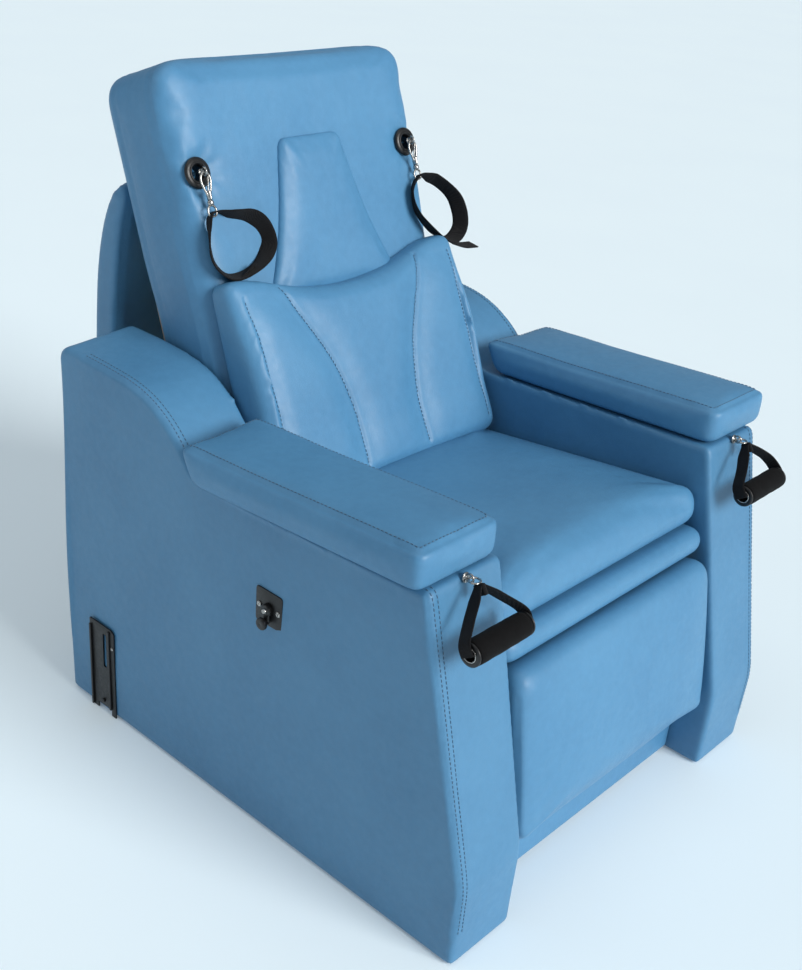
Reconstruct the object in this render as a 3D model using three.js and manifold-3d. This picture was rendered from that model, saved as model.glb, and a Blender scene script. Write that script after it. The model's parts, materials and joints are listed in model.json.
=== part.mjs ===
// Upholstered patient recliner chair with exercise pull loops and hand grips.
//
// Millimetres, +Z up, the chair faces -Y, x < 0 is the side with the recline lever.
// The origin is on the floor, under the middle of the chair's bounding box.
import * as THREE from 'three';
import { RoundedBoxGeometry } from 'three/addons/geometries/RoundedBoxGeometry.js';
import { mergeVertices } from 'three/addons/utils/BufferGeometryUtils.js';
import Module from 'manifold-3d';

const wasm = await Module();
wasm.setup();

// ---------------------------------------------------------------- driving dimensions
const GAP = 0.3;                  // clearance between pieces that touch
const TO_RAD = Math.PI / 180;

const FRONT_Y = -522.5;           // foot of the arms' front faces
const ARM_REAR_Y = 395.5;
const ARM_INNER_X = 280;          // flat inner faces of the arm boxes
const ARM_OUTER_X = 420;          // outer faces, measured at the floor
const ARM_FLARE = 0.03;           // outward lean of the outer faces, mm per mm of height
const ARM_FRONT_BEND_Z = 150;
const ARM_FRONT_TOP_Y = -409.5;
const ARM_TOP_FRONT_Z = 596;
const ARM_TOP_REAR_Z = 570;
const HUMP_START_Y = 56;
const HUMP_TOP_Z = 669;           // at the outer side
const HUMP_SLANT = 16;            // how far the hump's front slope runs back at its inner side
const HUMP_RISE = 11;             // how much higher the hump is at its inner side
const FOOT_HEIGHT = 4;
const WHEEL_Z = 23;

const PAD_INNER_X = 285;
const PAD_OUTER_X = 459;
const PAD_THICKNESS = 62;
const PAD_FRONT_Y = -410;
const PAD_REAR_Y = 34;
const PAD_REAR_RAKE = 36;         // the pad's rear end leans back along the hump
const PAD_REAR_SLANT = 33;        // and runs further back at its inner side

const SEAT_FRONT_Y = -423.5;
const SEAT_BASE_Z = 462;
const SEAT_SLOPE = 7 * TO_RAD;    // the seat falls towards the back
const SEAT_DEPTH = 486;
const SEAT_HALF_WIDTH = 277;
const SEAT_THICKNESS = 72;

const PIVOT_Y = 156.5;            // backrest hinge line
const PIVOT_Z = 420;
const BACK_TILT = 21.5 * TO_RAD;
const BACK_HALF_WIDTH = 277;
const BACK_TOP_FLARE = 4;         // extra half width at the top, above the arms
const BACK_FRONT = -73.5;         // distances from the hinge line, square to the backrest
const BACK_REAR = 83.5;
const BACK_BOTTOM = 34;
const BACK_TOP = 728;
const SHELL_HALF_WIDTH = 274;
const BOARD_THICKNESS = 15;
const HEADREST_FOOT = 300;
const HEADREST_TOP = 584;
const LUMBAR_HALF_WIDTH = 270;
const LUMBAR_DEPTH = 76;
const LUMBAR_BOTTOM = 28;
const LUMBAR_TOP = 364;
const LUMBAR_TOP_TAPER = 0.62;
const DIP_RADIUS = 519;           // the lumbar cushion's top edge dips in the middle
const DIP_CENTRE_Z = 845;
const BACK_PIN_RADIUS = 5;

const LEGREST_PIVOT_Y = -441.5;
const LEGREST_PIVOT_Z = 370;
const LEGREST_LEAN = 10 * TO_RAD;
const LEGREST_HALF_WIDTH = 269;
const LEGREST_LENGTH = 250;
const LEGREST_EDGE_RADIUS = 31;
const LEGREST_PIN_RADIUS = 4;

const LOOP_X = 244;               // pull-loop grommets on the backrest
const LOOP_HEIGHT = 548;
const HANDLE_X = 361;             // hand-grip straps under the front of each arm pad

const LEVER_Y = -120;             // recline lever plate on the outer face of the x < 0 arm
const LEVER_Z = 429;
const BRACKET_Y = 297.5;          // transport-wheel brackets low on the arms' outer faces

const LEVER_PIN_Y = 72.6;         // recline lever's pin, in the backrest's own axes
const LEVER_PIN_Z = -68.8;
const GAS_SPRING_X = 22;
const GAS_SPRING_Z = 325;

// ---------------------------------------------------------------- materials
const BLUE_PU = { color: 0x4f8fbe, roughness: 0.42, metalness: 0 };
const BLUE_PU_SIDE = { color: 0x44749f, roughness: 0.45, metalness: 0 };
const PLYWOOD = { color: 0xb58a55, roughness: 0.75, metalness: 0 };
const BLACK_STEEL = { color: 0x17181a, roughness: 0.45, metalness: 0.6 };
const BRIGHT_STEEL = { color: 0xc3c6c9, roughness: 0.28, metalness: 1 };
const BLACK_PLASTIC = { color: 0x141416, roughness: 0.4, metalness: 0 };
const BLACK_RUBBER = { color: 0x1b1b1d, roughness: 0.85, metalness: 0 };
const BLACK_FOAM = { color: 0x121214, roughness: 0.95, metalness: 0 };
const BLACK_WEBBING = { color: 0x0f1012, roughness: 0.9, metalness: 0 };

// ---------------------------------------------------------------- geometry helpers
function positionsOnly(geometry) {
  const bare = geometry.clone();
  bare.deleteAttribute('normal');
  bare.deleteAttribute('uv');
  return mergeVertices(bare, 1e-4);
}

function toSolid(geometry) {
  const welded = positionsOnly(geometry);
  const vertProperties = Float32Array.from(welded.attributes.position.array);
  const triVerts = Uint32Array.from(welded.index.array);
  return new wasm.Manifold(new wasm.Mesh({ numProp: 3, vertProperties, triVerts }));
}

function fromSolid(solid) {
  const mesh = solid.getMesh();
  const geometry = new THREE.BufferGeometry();
  geometry.setAttribute('position', new THREE.BufferAttribute(mesh.vertProperties, 3));
  geometry.setIndex(new THREE.BufferAttribute(mesh.triVerts, 1));
  geometry.computeVertexNormals();
  return geometry;
}

function join(...geometries) {
  let solid = toSolid(geometries[0]);
  for (const geometry of geometries.slice(1)) {
    solid = solid.add(toSolid(geometry));
  }
  return fromSolid(solid);
}

function cut(body, ...tools) {
  let solid = toSolid(body);
  for (const tool of tools) {
    solid = solid.subtract(toSolid(tool));
  }
  return fromSolid(solid);
}

function box(x0, x1, y0, y1, z0, z1) {
  const geometry = new THREE.BoxGeometry(x1 - x0, y1 - y0, z1 - z0);
  return geometry.translate((x0 + x1) / 2, (y0 + y1) / 2, (z0 + z1) / 2);
}

// A box with rounded edges, the plain form of every cushion.
function softBox(x0, x1, y0, y1, z0, z1, radius, steps = 2) {
  const geometry = new RoundedBoxGeometry(x1 - x0, y1 - y0, z1 - z0, steps, radius);
  return geometry.translate((x0 + x1) / 2, (y0 + y1) / 2, (z0 + z1) / 2);
}

// Cylinders along each axis, from the low end to the high end.
function rodX(radius, x0, x1, y, z, sides = 20) {
  const geometry = new THREE.CylinderGeometry(radius, radius, x1 - x0, sides);
  return geometry.rotateZ(Math.PI / 2).translate((x0 + x1) / 2, y, z);
}

function rodY(radius, y0, y1, x, z, sides = 20) {
  const geometry = new THREE.CylinderGeometry(radius, radius, y1 - y0, sides);
  return geometry.translate(x, (y0 + y1) / 2, z);
}

function rodZ(radius, z0, z1, x, y, sides = 20) {
  const geometry = new THREE.CylinderGeometry(radius, radius, z1 - z0, sides);
  return geometry.rotateX(Math.PI / 2).translate(x, y, (z0 + z1) / 2);
}

// A [y, z] outline swept along X.
const SIDE_VIEW = new THREE.Matrix4().makeBasis(
  new THREE.Vector3(0, 1, 0),
  new THREE.Vector3(0, 0, 1),
  new THREE.Vector3(1, 0, 0),
);

function sweepX(shape, x0, x1) {
  const geometry = new THREE.ExtrudeGeometry(shape, {
    depth: x1 - x0,
    bevelEnabled: false,
    curveSegments: 6,
  });
  return geometry.applyMatrix4(SIDE_VIEW).translate(x0, 0, 0);
}

function outline(points) {
  return new THREE.Shape(points.map(([y, z]) => new THREE.Vector2(y, z)));
}

// A closed outline whose corners are rounded with the given radius.
function roundedOutline(points, radius) {
  const shape = new THREE.Shape();
  const count = points.length;
  const corners = points.map(([a, b]) => new THREE.Vector2(a, b));
  for (let i = 0; i < count; i += 1) {
    const corner = corners[i];
    const before = corners[(i + count - 1) % count];
    const after = corners[(i + 1) % count];
    const inReach = Math.min(radius, corner.distanceTo(before) * 0.45);
    const outReach = Math.min(radius, corner.distanceTo(after) * 0.45);
    const start = corner.clone().add(before.clone().sub(corner).setLength(inReach));
    const end = corner.clone().add(after.clone().sub(corner).setLength(outReach));
    if (i === 0) {
      shape.moveTo(start.x, start.y);
    } else {
      shape.lineTo(start.x, start.y);
    }
    shape.quadraticCurveTo(corner.x, corner.y, end.x, end.y);
  }
  return shape;
}

function reshape(geometry, change) {
  const position = geometry.attributes.position;
  const point = new THREE.Vector3();
  for (let i = 0; i < position.count; i += 1) {
    point.fromBufferAttribute(position, i);
    change(point);
    position.setXYZ(i, point.x, point.y, point.z);
  }
  return geometry;
}

function ringTube(major, minor, radialSteps = 8, steps = 20) {
  return new THREE.TorusGeometry(major, minor, radialSteps, steps);
}

function part(parent, name, geometry, look) {
  const mesh = new THREE.Mesh(geometry, new THREE.MeshStandardMaterial(look));
  mesh.name = name;
  parent.add(mesh);
  return mesh;
}

const SIDES = [
  { side: -1, tag: 'left' },
  { side: 1, tag: 'right' },
];

// Orders two x values whichever side they are on.
function spanX(side, near, far) {
  return side < 0 ? [-far, -near] : [near, far];
}

// ---------------------------------------------------------------- arm boxes and pads
function humpSlant(point) {
  const inner = Math.abs(point.x) < ARM_INNER_X + 60;
  const onSlope = point.y > HUMP_START_Y - 10 && point.y < 230 && point.z > 560;
  if (inner && onSlope) {
    point.y += HUMP_SLANT;
  }
  if (inner && point.z > 600) {
    point.z += HUMP_RISE;
  }
}

function armBox(side) {
  const profile = outline([
    [ARM_REAR_Y, FOOT_HEIGHT],
    [ARM_REAR_Y + 19, HUMP_TOP_Z - 16],
    [ARM_REAR_Y + 5, HUMP_TOP_Z],
    [320, HUMP_TOP_Z],
    [226, HUMP_TOP_Z - 4],
    [176, HUMP_TOP_Z - 15],
    [132, HUMP_TOP_Z - 37],
    [98, HUMP_TOP_Z - 63],
    [66, 575],
    [HUMP_START_Y, ARM_TOP_REAR_Z],
    [ARM_FRONT_TOP_Y + 4, ARM_TOP_FRONT_Z],
    [ARM_FRONT_TOP_Y - 3, 588],
    [FRONT_Y, ARM_FRONT_BEND_Z],
    [FRONT_Y, FOOT_HEIGHT],
  ]);
  const [low, high] = spanX(side, ARM_INNER_X, ARM_OUTER_X);
  const body = sweepX(profile, low, high);
  return reshape(body, (point) => {
    humpSlant(point);
    if (Math.abs(point.x) > ARM_OUTER_X - 1) {
      point.x = side * (ARM_OUTER_X + ARM_FLARE * point.z);
    }
  });
}

function armPad(side) {
  const [low, high] = spanX(side, PAD_INNER_X, PAD_OUTER_X);
  const pad = softBox(low, high, PAD_FRONT_Y, PAD_REAR_Y, 0, PAD_THICKNESS, 14);
  const length = PAD_REAR_Y - PAD_FRONT_Y;
  return reshape(pad, (point) => {
    const back = (point.y - PAD_FRONT_Y) / length;
    const up = point.z / PAD_THICKNESS;
    const base = ARM_TOP_FRONT_Z + 1.5 + back * (ARM_TOP_REAR_Z - ARM_TOP_FRONT_Z);
    const thickness = PAD_THICKNESS - 4 * back;
    point.z = base + up * thickness;
    if (back > 0.5) {
      const inner = Math.abs(point.x) < (PAD_INNER_X + PAD_OUTER_X) / 2;
      point.y += PAD_REAR_RAKE * up + (inner ? PAD_REAR_SLANT : 0);
    }
  });
}

// ---------------------------------------------------------------- seat
function seatCushion() {
  const w = SEAT_HALF_WIDTH;
  return softBox(-w, w, 0, SEAT_DEPTH, 0, SEAT_THICKNESS, 26);
}

function frontRoll() {
  const w = SEAT_HALF_WIDTH;
  return softBox(-w, w, -16, 200, -54, -2, 22);
}

function seatPlatform() {
  return box(-ARM_INNER_X + GAP, ARM_INNER_X - GAP, 32, SEAT_DEPTH - 12, -74, -57);
}

// ---------------------------------------------------------------- backrest
function backrestSlab() {
  const w = BACK_HALF_WIDTH;
  const slab = softBox(-w, w, BACK_FRONT, BACK_REAR, BACK_BOTTOM, BACK_TOP, 24, 2);
  const bores = SIDES.map(({ side }) => (
    rodY(15, BACK_FRONT - 5, BACK_FRONT + 45, side * LOOP_X, LOOP_HEIGHT, 24)
  ));
  const flared = reshape(slab, (point) => {
    if (point.z > BACK_TOP / 2) {
      point.x += Math.sign(point.x) * BACK_TOP_FLARE;
    }
  });
  return cut(flared, ...bores);
}

function topDip(radius) {
  return rodY(radius, BACK_FRONT - 120, BACK_FRONT + 60, 0, DIP_CENTRE_Z, 72);
}

// Wide at the bottom and narrow at the top, its foot inside the lumbar cushion's dip.
function headrestPad() {
  const front = BACK_FRONT - 20 - GAP;
  const pad = softBox(-150, 150, front, BACK_FRONT - GAP, HEADREST_FOOT, HEADREST_TOP, 9);
  const tapered = reshape(pad, (point) => {
    const up = (point.z - HEADREST_FOOT) / (HEADREST_TOP - HEADREST_FOOT);
    point.x *= 1 - 0.6 * up;
  });
  const keep = toSolid(tapered).intersect(toSolid(topDip(DIP_RADIUS - 1)));
  return fromSolid(keep);
}

// Thinner towards the top, its lower part standing forward.
function lumbarCushion() {
  const w = LUMBAR_HALF_WIDTH;
  const rear = BACK_FRONT - GAP;
  const pad = softBox(-w, w, rear - LUMBAR_DEPTH, rear, LUMBAR_BOTTOM, LUMBAR_TOP, 26);
  const tapered = reshape(pad, (point) => {
    if (point.z > 200) {
      point.y = rear + (point.y - rear) * LUMBAR_TOP_TAPER;
    }
  });
  return cut(tapered, topDip(DIP_RADIUS));
}

// A thick padded shell behind the backrest; its outline is square to the floor.
function rearShell() {
  const profile = roundedOutline([
    [366, 60],
    [366, 200],
    [361, 320],
    [343, 405],
    [322, 462],
    [296, 488],
    [281, 480],
    [276, 462],
    [287, 430],
    [300, 354],
    [308, 224],
    [308, 60],
  ], 12);
  return sweepX(profile, -SHELL_HALF_WIDTH, SHELL_HALF_WIDTH);
}

function shellSpacer() {
  const profile = outline([
    [239, 330],
    [299, 330],
    [296, 370],
    [255, 370],
  ]);
  return sweepX(profile, -210, 210);
}

function lShape(x0, x1) {
  const profile = outline([
    [-14, -14],
    [0, -18],
    [112, -18],
    [125, -6],
    [125, 250],
    [BACK_REAR + BOARD_THICKNESS + 2 * GAP, 250],
    [BACK_REAR + BOARD_THICKNESS + 2 * GAP, 18],
    [0, 18],
    [-14, 14],
    [-18, 0],
  ]);
  const bore = rodX(BACK_PIN_RADIUS + GAP, x0 - 1, x1 + 1, 0, 0);
  return cut(sweepX(profile, x0, x1), bore);
}

function recliningLever() {
  const back = BACK_REAR + BOARD_THICKNESS + 2 * GAP;
  const profile = outline([
    [back, 200],
    [back, 10],
    [64, -50],
    [58, -70],
    [66, -82],
    [84, -80],
    [124, -20],
    [124, 200],
  ]);
  const plate = sweepX(profile, -3, 3);
  const pin = rodX(5, 0, GAS_SPRING_X + 4, LEVER_PIN_Y, LEVER_PIN_Z);
  return join(plate, pin);
}

function grommet(side) {
  const profile = [
    [12.5, 24],
    [14.6, 24],
    [14.6, -0.4],
    [25, -0.4],
    [25, -2.5],
    [21, -5],
    [14, -5],
    [12.5, -3.5],
    [12.5, 24],
  ].map(([radius, depth]) => new THREE.Vector2(radius, depth));
  const geometry = new THREE.LatheGeometry(profile.reverse(), 28);
  return geometry.translate(side * LOOP_X, BACK_FRONT, LOOP_HEIGHT);
}

// ---------------------------------------------------------------- pull loops
const EYE_OUT = 17;               // hook eye, out from the backrest's face
const HOOK_DROP = 72;             // eye to the strap's top
const LOOP_RADIUS = 50;
const LOOP_SWAY = 34;             // the strap hangs to one side

// A stem with a ring on its end, standing out through the grommet.
function anchorEye() {
  const stem = rodY(3, 5 - EYE_OUT, 22, 0, 0, 14);
  const eye = ringTube(6, 1.8, 6, 16).rotateY(Math.PI / 2).translate(0, -EYE_OUT, 0);
  return join(stem, eye);
}

// Origin in the anchor eye; a bow, a swivel barrel and a small ring below each other.
function snapHook() {
  const bow = ringTube(9, 1.7, 6, 18).scale(1, 2.1, 1).rotateX(Math.PI / 2);
  bow.translate(0, 0, -19);
  const barrel = new THREE.LatheGeometry([
    [0, -14],
    [3, -14],
    [4.8, -11],
    [4.8, -4],
    [3.2, 0],
    [0, 0],
  ].map(([radius, height]) => new THREE.Vector2(radius, height)), 14);
  barrel.rotateX(Math.PI / 2).translate(0, 0, -39);
  const foot = ringTube(7, 2, 6, 16).rotateX(Math.PI / 2);
  foot.translate(0, 0, -60);
  return join(bow, barrel, foot);
}

// A flat band bent into a lopsided loop, its width square to the backrest.
function strapLoop() {
  const band = ringTube(LOOP_RADIUS, 3.4, 6, 24);
  band.scale(1.3, 1, 2.4).rotateX(Math.PI / 2);
  return reshape(band, (point) => {
    const up = point.z / LOOP_RADIUS;
    const slimmer = up > 0 ? 1 - 0.3 * up * up : 1;
    point.x = point.x * slimmer + LOOP_SWAY * (1 - up * up);
    point.z -= LOOP_RADIUS + 3.5;
  });
}

// ---------------------------------------------------------------- hand grips
const GRIP_DROP = 82.5;           // strap's apex to grip axis
const GRIP_LENGTH = 112;
const HANDLE_Z = 577;
const EYE_REACH = 8.6;            // ring hole, out from the arm's front face
const EYE_RISE = 17;              // and up from HANDLE_Z, along that face
const HANDLE_LEAN = 33.7 * TO_RAD; // the stiff strap stands off the sloping face
const RING_RADIUS = 8;
const STRAP_OUT = 12;             // strap and grip, out from the swing line
const STRAP_DROP = 5;

function gripTube() {
  const profile = [
    [9, -GRIP_LENGTH / 2 - 4],
    [17, -GRIP_LENGTH / 2 - 4],
    [17, -GRIP_LENGTH / 2 - 1],
    [11, -GRIP_LENGTH / 2 - 1],
    [11, GRIP_LENGTH / 2 + 1],
    [17, GRIP_LENGTH / 2 + 1],
    [17, GRIP_LENGTH / 2 + 4],
    [9, GRIP_LENGTH / 2 + 4],
    [9, -GRIP_LENGTH / 2 - 4],
  ].map(([radius, along]) => new THREE.Vector2(radius, along));
  return new THREE.LatheGeometry(profile, 20).rotateZ(Math.PI / 2);
}

function foamGrip() {
  const half = GRIP_LENGTH / 2;
  const profile = [
    [11.4, -half],
    [16, -half],
    [18, -half + 4],
    [18.5, 0],
    [18, half - 4],
    [16, half],
    [11.4, half],
    [11.4, -half],
  ].map(([radius, along]) => new THREE.Vector2(radius, along));
  return new THREE.LatheGeometry(profile, 20).rotateZ(Math.PI / 2);
}

// A strap that runs from the ring to both ends of the grip and back through its tube.
function gripWebbing() {
  const half = GRIP_LENGTH / 2 + 12;
  const low = -GRIP_DROP;
  const front = new THREE.Shape([
    new THREE.Vector2(-9, -6),
    new THREE.Vector2(-half, low + 22),
    new THREE.Vector2(-half, low - 5),
    new THREE.Vector2(half, low - 5),
    new THREE.Vector2(half, low + 22),
    new THREE.Vector2(9, -6),
  ]);
  const inside = new THREE.Path([
    new THREE.Vector2(0, -17),
    new THREE.Vector2(half - 7, low + 18),
    new THREE.Vector2(half - 7, low + 3),
    new THREE.Vector2(-half + 7, low + 3),
    new THREE.Vector2(-half + 7, low + 18),
  ]);
  front.holes.push(inside);
  const body = new THREE.ExtrudeGeometry(front, { depth: 14, bevelEnabled: false });
  return body.rotateX(Math.PI / 2).translate(0, 7, 0);
}

// ---------------------------------------------------------------- assembly
const chair = new THREE.Group();

function addArms() {
  for (const { side, tag } of SIDES) {
    const [wheelLow, wheelHigh] = spanX(side, 388, 430);
    const wheelPocket = box(wheelLow, wheelHigh, BRACKET_Y - 26, BRACKET_Y + 26, 0, 56);
    part(chair, `arm_box_${tag}`, cut(armBox(side), wheelPocket), BLUE_PU_SIDE);
    part(chair, `arm_pad_${tag}`, armPad(side), BLUE_PU);
    for (const [end, y] of [['front', -490], ['rear', 350]]) {
      const foot = rodZ(16, 0, FOOT_HEIGHT - GAP, side * 345, y, 20);
      part(chair, `glide_foot_${end}_${tag}`, foot, BLACK_PLASTIC);
    }
  }
}

function addSeat() {
  const seat = new THREE.Group();
  seat.position.set(0, SEAT_FRONT_Y, SEAT_BASE_Z);
  seat.rotation.x = -SEAT_SLOPE;
  chair.add(seat);
  part(seat, 'seat_cushion', seatCushion(), BLUE_PU);
  part(seat, 'front_roll', frontRoll(), BLUE_PU);
  part(seat, 'seat_platform', seatPlatform(), PLYWOOD);
}

function addBase() {
  const reach = ARM_INNER_X - GAP;
  const apron = sweepX(outline([
    [-458, 12],
    [-438, 12],
    [-410, 255],
    [-430, 255],
    [-454, 118],
  ]), -reach, reach);
  part(chair, 'apron', apron, BLUE_PU);
  const rail = box(-reach, reach, 340, 366, 24, 84);
  part(chair, 'rear_cross_rail', rail, PLYWOOD);
}

function addBackrest() {
  const back = new THREE.Group();
  back.position.set(0, PIVOT_Y, PIVOT_Z);
  back.rotation.x = -BACK_TILT;
  chair.add(back);
  part(back, 'backrest_slab', backrestSlab(), BLUE_PU);
  part(back, 'headrest_pad', headrestPad(), BLUE_PU);
  part(back, 'lumbar_cushion', lumbarCushion(), BLUE_PU);
  const upright = new THREE.Group();
  upright.rotation.x = BACK_TILT;
  back.add(upright);
  part(upright, 'rear_shell', rearShell(), BLUE_PU_SIDE);
  part(upright, 'shell_spacer', shellSpacer(), PLYWOOD);
  const boardFront = BACK_REAR + GAP;
  part(back, 'backrest_board', box(-250, 250, boardFront, boardFront + BOARD_THICKNESS, 45, 500), PLYWOOD);
  part(back, 'recline_lever', recliningLever(), BLACK_STEEL);
  for (const { side, tag } of SIDES) {
    const [armLow, armHigh] = spanX(side, 235, 241);
    part(back, `back_hinge_arm_${tag}`, lShape(armLow, armHigh), BLACK_STEEL);
    part(back, `grommet_${tag}`, grommet(side), BLACK_PLASTIC);
    const x = side * LOOP_X;
    const hole = new THREE.Group();
    hole.position.set(x, BACK_FRONT, LOOP_HEIGHT);
    back.add(hole);
    part(hole, `hook_anchor_eye_${tag}`, anchorEye(), BRIGHT_STEEL);
    const hook = part(hole, `snap_hook_${tag}`, snapHook(), BRIGHT_STEEL);
    hook.position.y = -EYE_OUT;
    const strap = part(hole, `pull_loop_${tag}`, strapLoop(), BLACK_WEBBING);
    strap.position.set(0, -EYE_OUT, -HOOK_DROP);
  }
}

function addBackPivots() {
  for (const { side, tag } of SIDES) {
    const [plateLow, plateHigh] = spanX(side, ARM_INNER_X - GAP - 5, ARM_INNER_X - GAP);
    const plate = box(plateLow, plateHigh, PIVOT_Y - 25, PIVOT_Y + 25, PIVOT_Z - 60, PIVOT_Z + 22);
    const hole = rodX(BACK_PIN_RADIUS + GAP, plateLow - 1, plateHigh + 1, PIVOT_Y, PIVOT_Z);
    part(chair, `back_pivot_bracket_${tag}`, cut(plate, hole), BLACK_STEEL);
    const [pinLow, pinHigh] = spanX(side, 230, ARM_INNER_X - GAP);
    part(chair, `back_pivot_pin_${tag}`, rodX(BACK_PIN_RADIUS, pinLow, pinHigh, PIVOT_Y, PIVOT_Z), BRIGHT_STEEL);
  }
}

// ---------------------------------------------------------------- legrest
function legrestCushion() {
  const radius = LEGREST_EDGE_RADIUS;
  const profile = new THREE.Shape();
  profile.moveTo(radius, 0);
  profile.absarc(0, 0, radius, 0, Math.PI, false);
  profile.lineTo(-radius - 4, -60);
  profile.lineTo(-radius - 4, -185);
  profile.quadraticCurveTo(-radius, -LEGREST_LENGTH, -radius + 16, -LEGREST_LENGTH);
  profile.lineTo(radius - 14, -LEGREST_LENGTH);
  profile.quadraticCurveTo(radius - 4, -LEGREST_LENGTH + 2, radius - 4, -LEGREST_LENGTH + 16);
  profile.closePath();
  const body = sweepX(profile, -LEGREST_HALF_WIDTH, LEGREST_HALF_WIDTH, 8);
  const slot = box(-300, 300, -7 - GAP, 7 + GAP, -LEGREST_LENGTH + 30, 14);
  return cut(body, slot);
}

function legrestBoard() {
  const reach = LEGREST_HALF_WIDTH - 2;
  const board = box(-reach, reach, -7, 7, -LEGREST_LENGTH + 31, 13);
  const bores = SIDES.map(({ side }) => {
    const [low, high] = spanX(side, reach - 30, reach + 5);
    return rodX(LEGREST_PIN_RADIUS + GAP, low, high, 0, 0);
  });
  return cut(board, ...bores);
}

function legrestPin(side) {
  const [plateLow, plateHigh] = spanX(side, ARM_INNER_X - GAP - 3, ARM_INNER_X - GAP);
  const [pinLow, pinHigh] = spanX(side, LEGREST_HALF_WIDTH - 30, ARM_INNER_X - GAP - 1);
  const flange = rodX(16, plateLow, plateHigh, LEGREST_PIVOT_Y, LEGREST_PIVOT_Z);
  const pin = rodX(LEGREST_PIN_RADIUS, pinLow, pinHigh, LEGREST_PIVOT_Y, LEGREST_PIVOT_Z);
  return join(flange, pin);
}

function addLegrest() {
  const rest = new THREE.Group();
  rest.position.set(0, LEGREST_PIVOT_Y, LEGREST_PIVOT_Z);
  rest.rotation.x = -LEGREST_LEAN;
  chair.add(rest);
  part(rest, 'legrest_cushion', legrestCushion(), BLUE_PU);
  part(rest, 'legrest_board', legrestBoard(), PLYWOOD);
  for (const { side, tag } of SIDES) {
    part(chair, `legrest_pivot_pin_${tag}`, legrestPin(side), BRIGHT_STEEL);
  }
}

// ---------------------------------------------------------------- gas spring
function addGasSpring() {
  const bodyLength = 205;
  const shell = [
    [0, 0],
    [13, 0],
    [13, bodyLength],
    [4.6, bodyLength],
    [4.6, 40],
    [0, 40],
  ].map(([radius, along]) => new THREE.Vector2(radius, along));
  const cylinder = new THREE.LatheGeometry(shell, 20);
  cylinder.translate(GAS_SPRING_X, -240, GAS_SPRING_Z);
  const lug = box(GAS_SPRING_X - 6, GAS_SPRING_X + 6, -254, -236, GAS_SPRING_Z - 10, GAS_SPRING_Z + 38);
  part(chair, 'gas_spring_cylinder', join(cylinder, lug), BLACK_STEEL);
  const pinY = 198.8;
  const eye = new THREE.Shape();
  eye.absarc(pinY, GAS_SPRING_Z + 10, 13, 0, Math.PI, false);
  eye.absarc(pinY, GAS_SPRING_Z - 10, 13, Math.PI, 2 * Math.PI, false);
  const slot = new THREE.Path();
  slot.absarc(pinY, GAS_SPRING_Z + 9, 6.5, 0, Math.PI, false);
  slot.absarc(pinY, GAS_SPRING_Z - 9, 6.5, Math.PI, 2 * Math.PI, false);
  eye.holes.push(slot);
  const eyePlate = sweepX(eye, GAS_SPRING_X - 3, GAS_SPRING_X + 3);
  const rod = rodY(4, -60, pinY - 11, GAS_SPRING_X, GAS_SPRING_Z, 16);
  part(chair, 'gas_spring_rod', join(rod, eyePlate), BRIGHT_STEEL);
}

// ---------------------------------------------------------------- hand grips on the arms
function addHandles() {
  const slope = (ARM_FRONT_TOP_Y - 3 - FRONT_Y) / (588 - ARM_FRONT_BEND_Z);
  const faceY = FRONT_Y + slope * (HANDLE_Z - ARM_FRONT_BEND_Z);
  const faceLean = Math.atan(slope);
  for (const { side, tag } of SIDES) {
    const mount = new THREE.Group();
    mount.position.set(side * HANDLE_X, faceY, HANDLE_Z);
    mount.rotation.x = -faceLean;
    chair.add(mount);
    const plate = box(-9, 9, -GAP - 2.5, -GAP, -7, EYE_RISE + 1);
    const eye = ringTube(6, 2, 6, 16).rotateY(Math.PI / 2).translate(0, -EYE_REACH, EYE_RISE);
    part(mount, `handle_eye_${tag}`, join(plate, eye), BRIGHT_STEEL);
    const swing = new THREE.Group();
    swing.position.set(0, -EYE_REACH, EYE_RISE);
    swing.rotation.x = faceLean - HANDLE_LEAN;
    mount.add(swing);
    const ring = ringTube(RING_RADIUS, 1.6, 6, 20).translate(0, -RING_RADIUS, 0);
    part(swing, `handle_ring_${tag}`, ring.rotateX(HANDLE_LEAN), BRIGHT_STEEL);
    const webbing = gripWebbing().translate(0, -STRAP_OUT, -STRAP_DROP);
    part(swing, `handle_webbing_${tag}`, webbing, BLACK_WEBBING);
    const tube = part(swing, `grip_tube_${tag}`, gripTube(), BLACK_PLASTIC);
    tube.position.set(0, -STRAP_OUT, -GRIP_DROP - STRAP_DROP);
    const foam = part(swing, `foam_grip_${tag}`, foamGrip(), BLACK_FOAM);
    foam.position.set(0, -STRAP_OUT, -GRIP_DROP - STRAP_DROP);
  }
}

// ---------------------------------------------------------------- fittings on the arms' outer faces
// A frame on the outer face of an arm, its x axis square to that face.
function outerFace(side, y, z) {
  const face = new THREE.Group();
  face.position.set(side * (ARM_OUTER_X + ARM_FLARE * z), y, z);
  face.rotation.y = side * Math.atan(ARM_FLARE);
  chair.add(face);
  return face;
}

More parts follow.
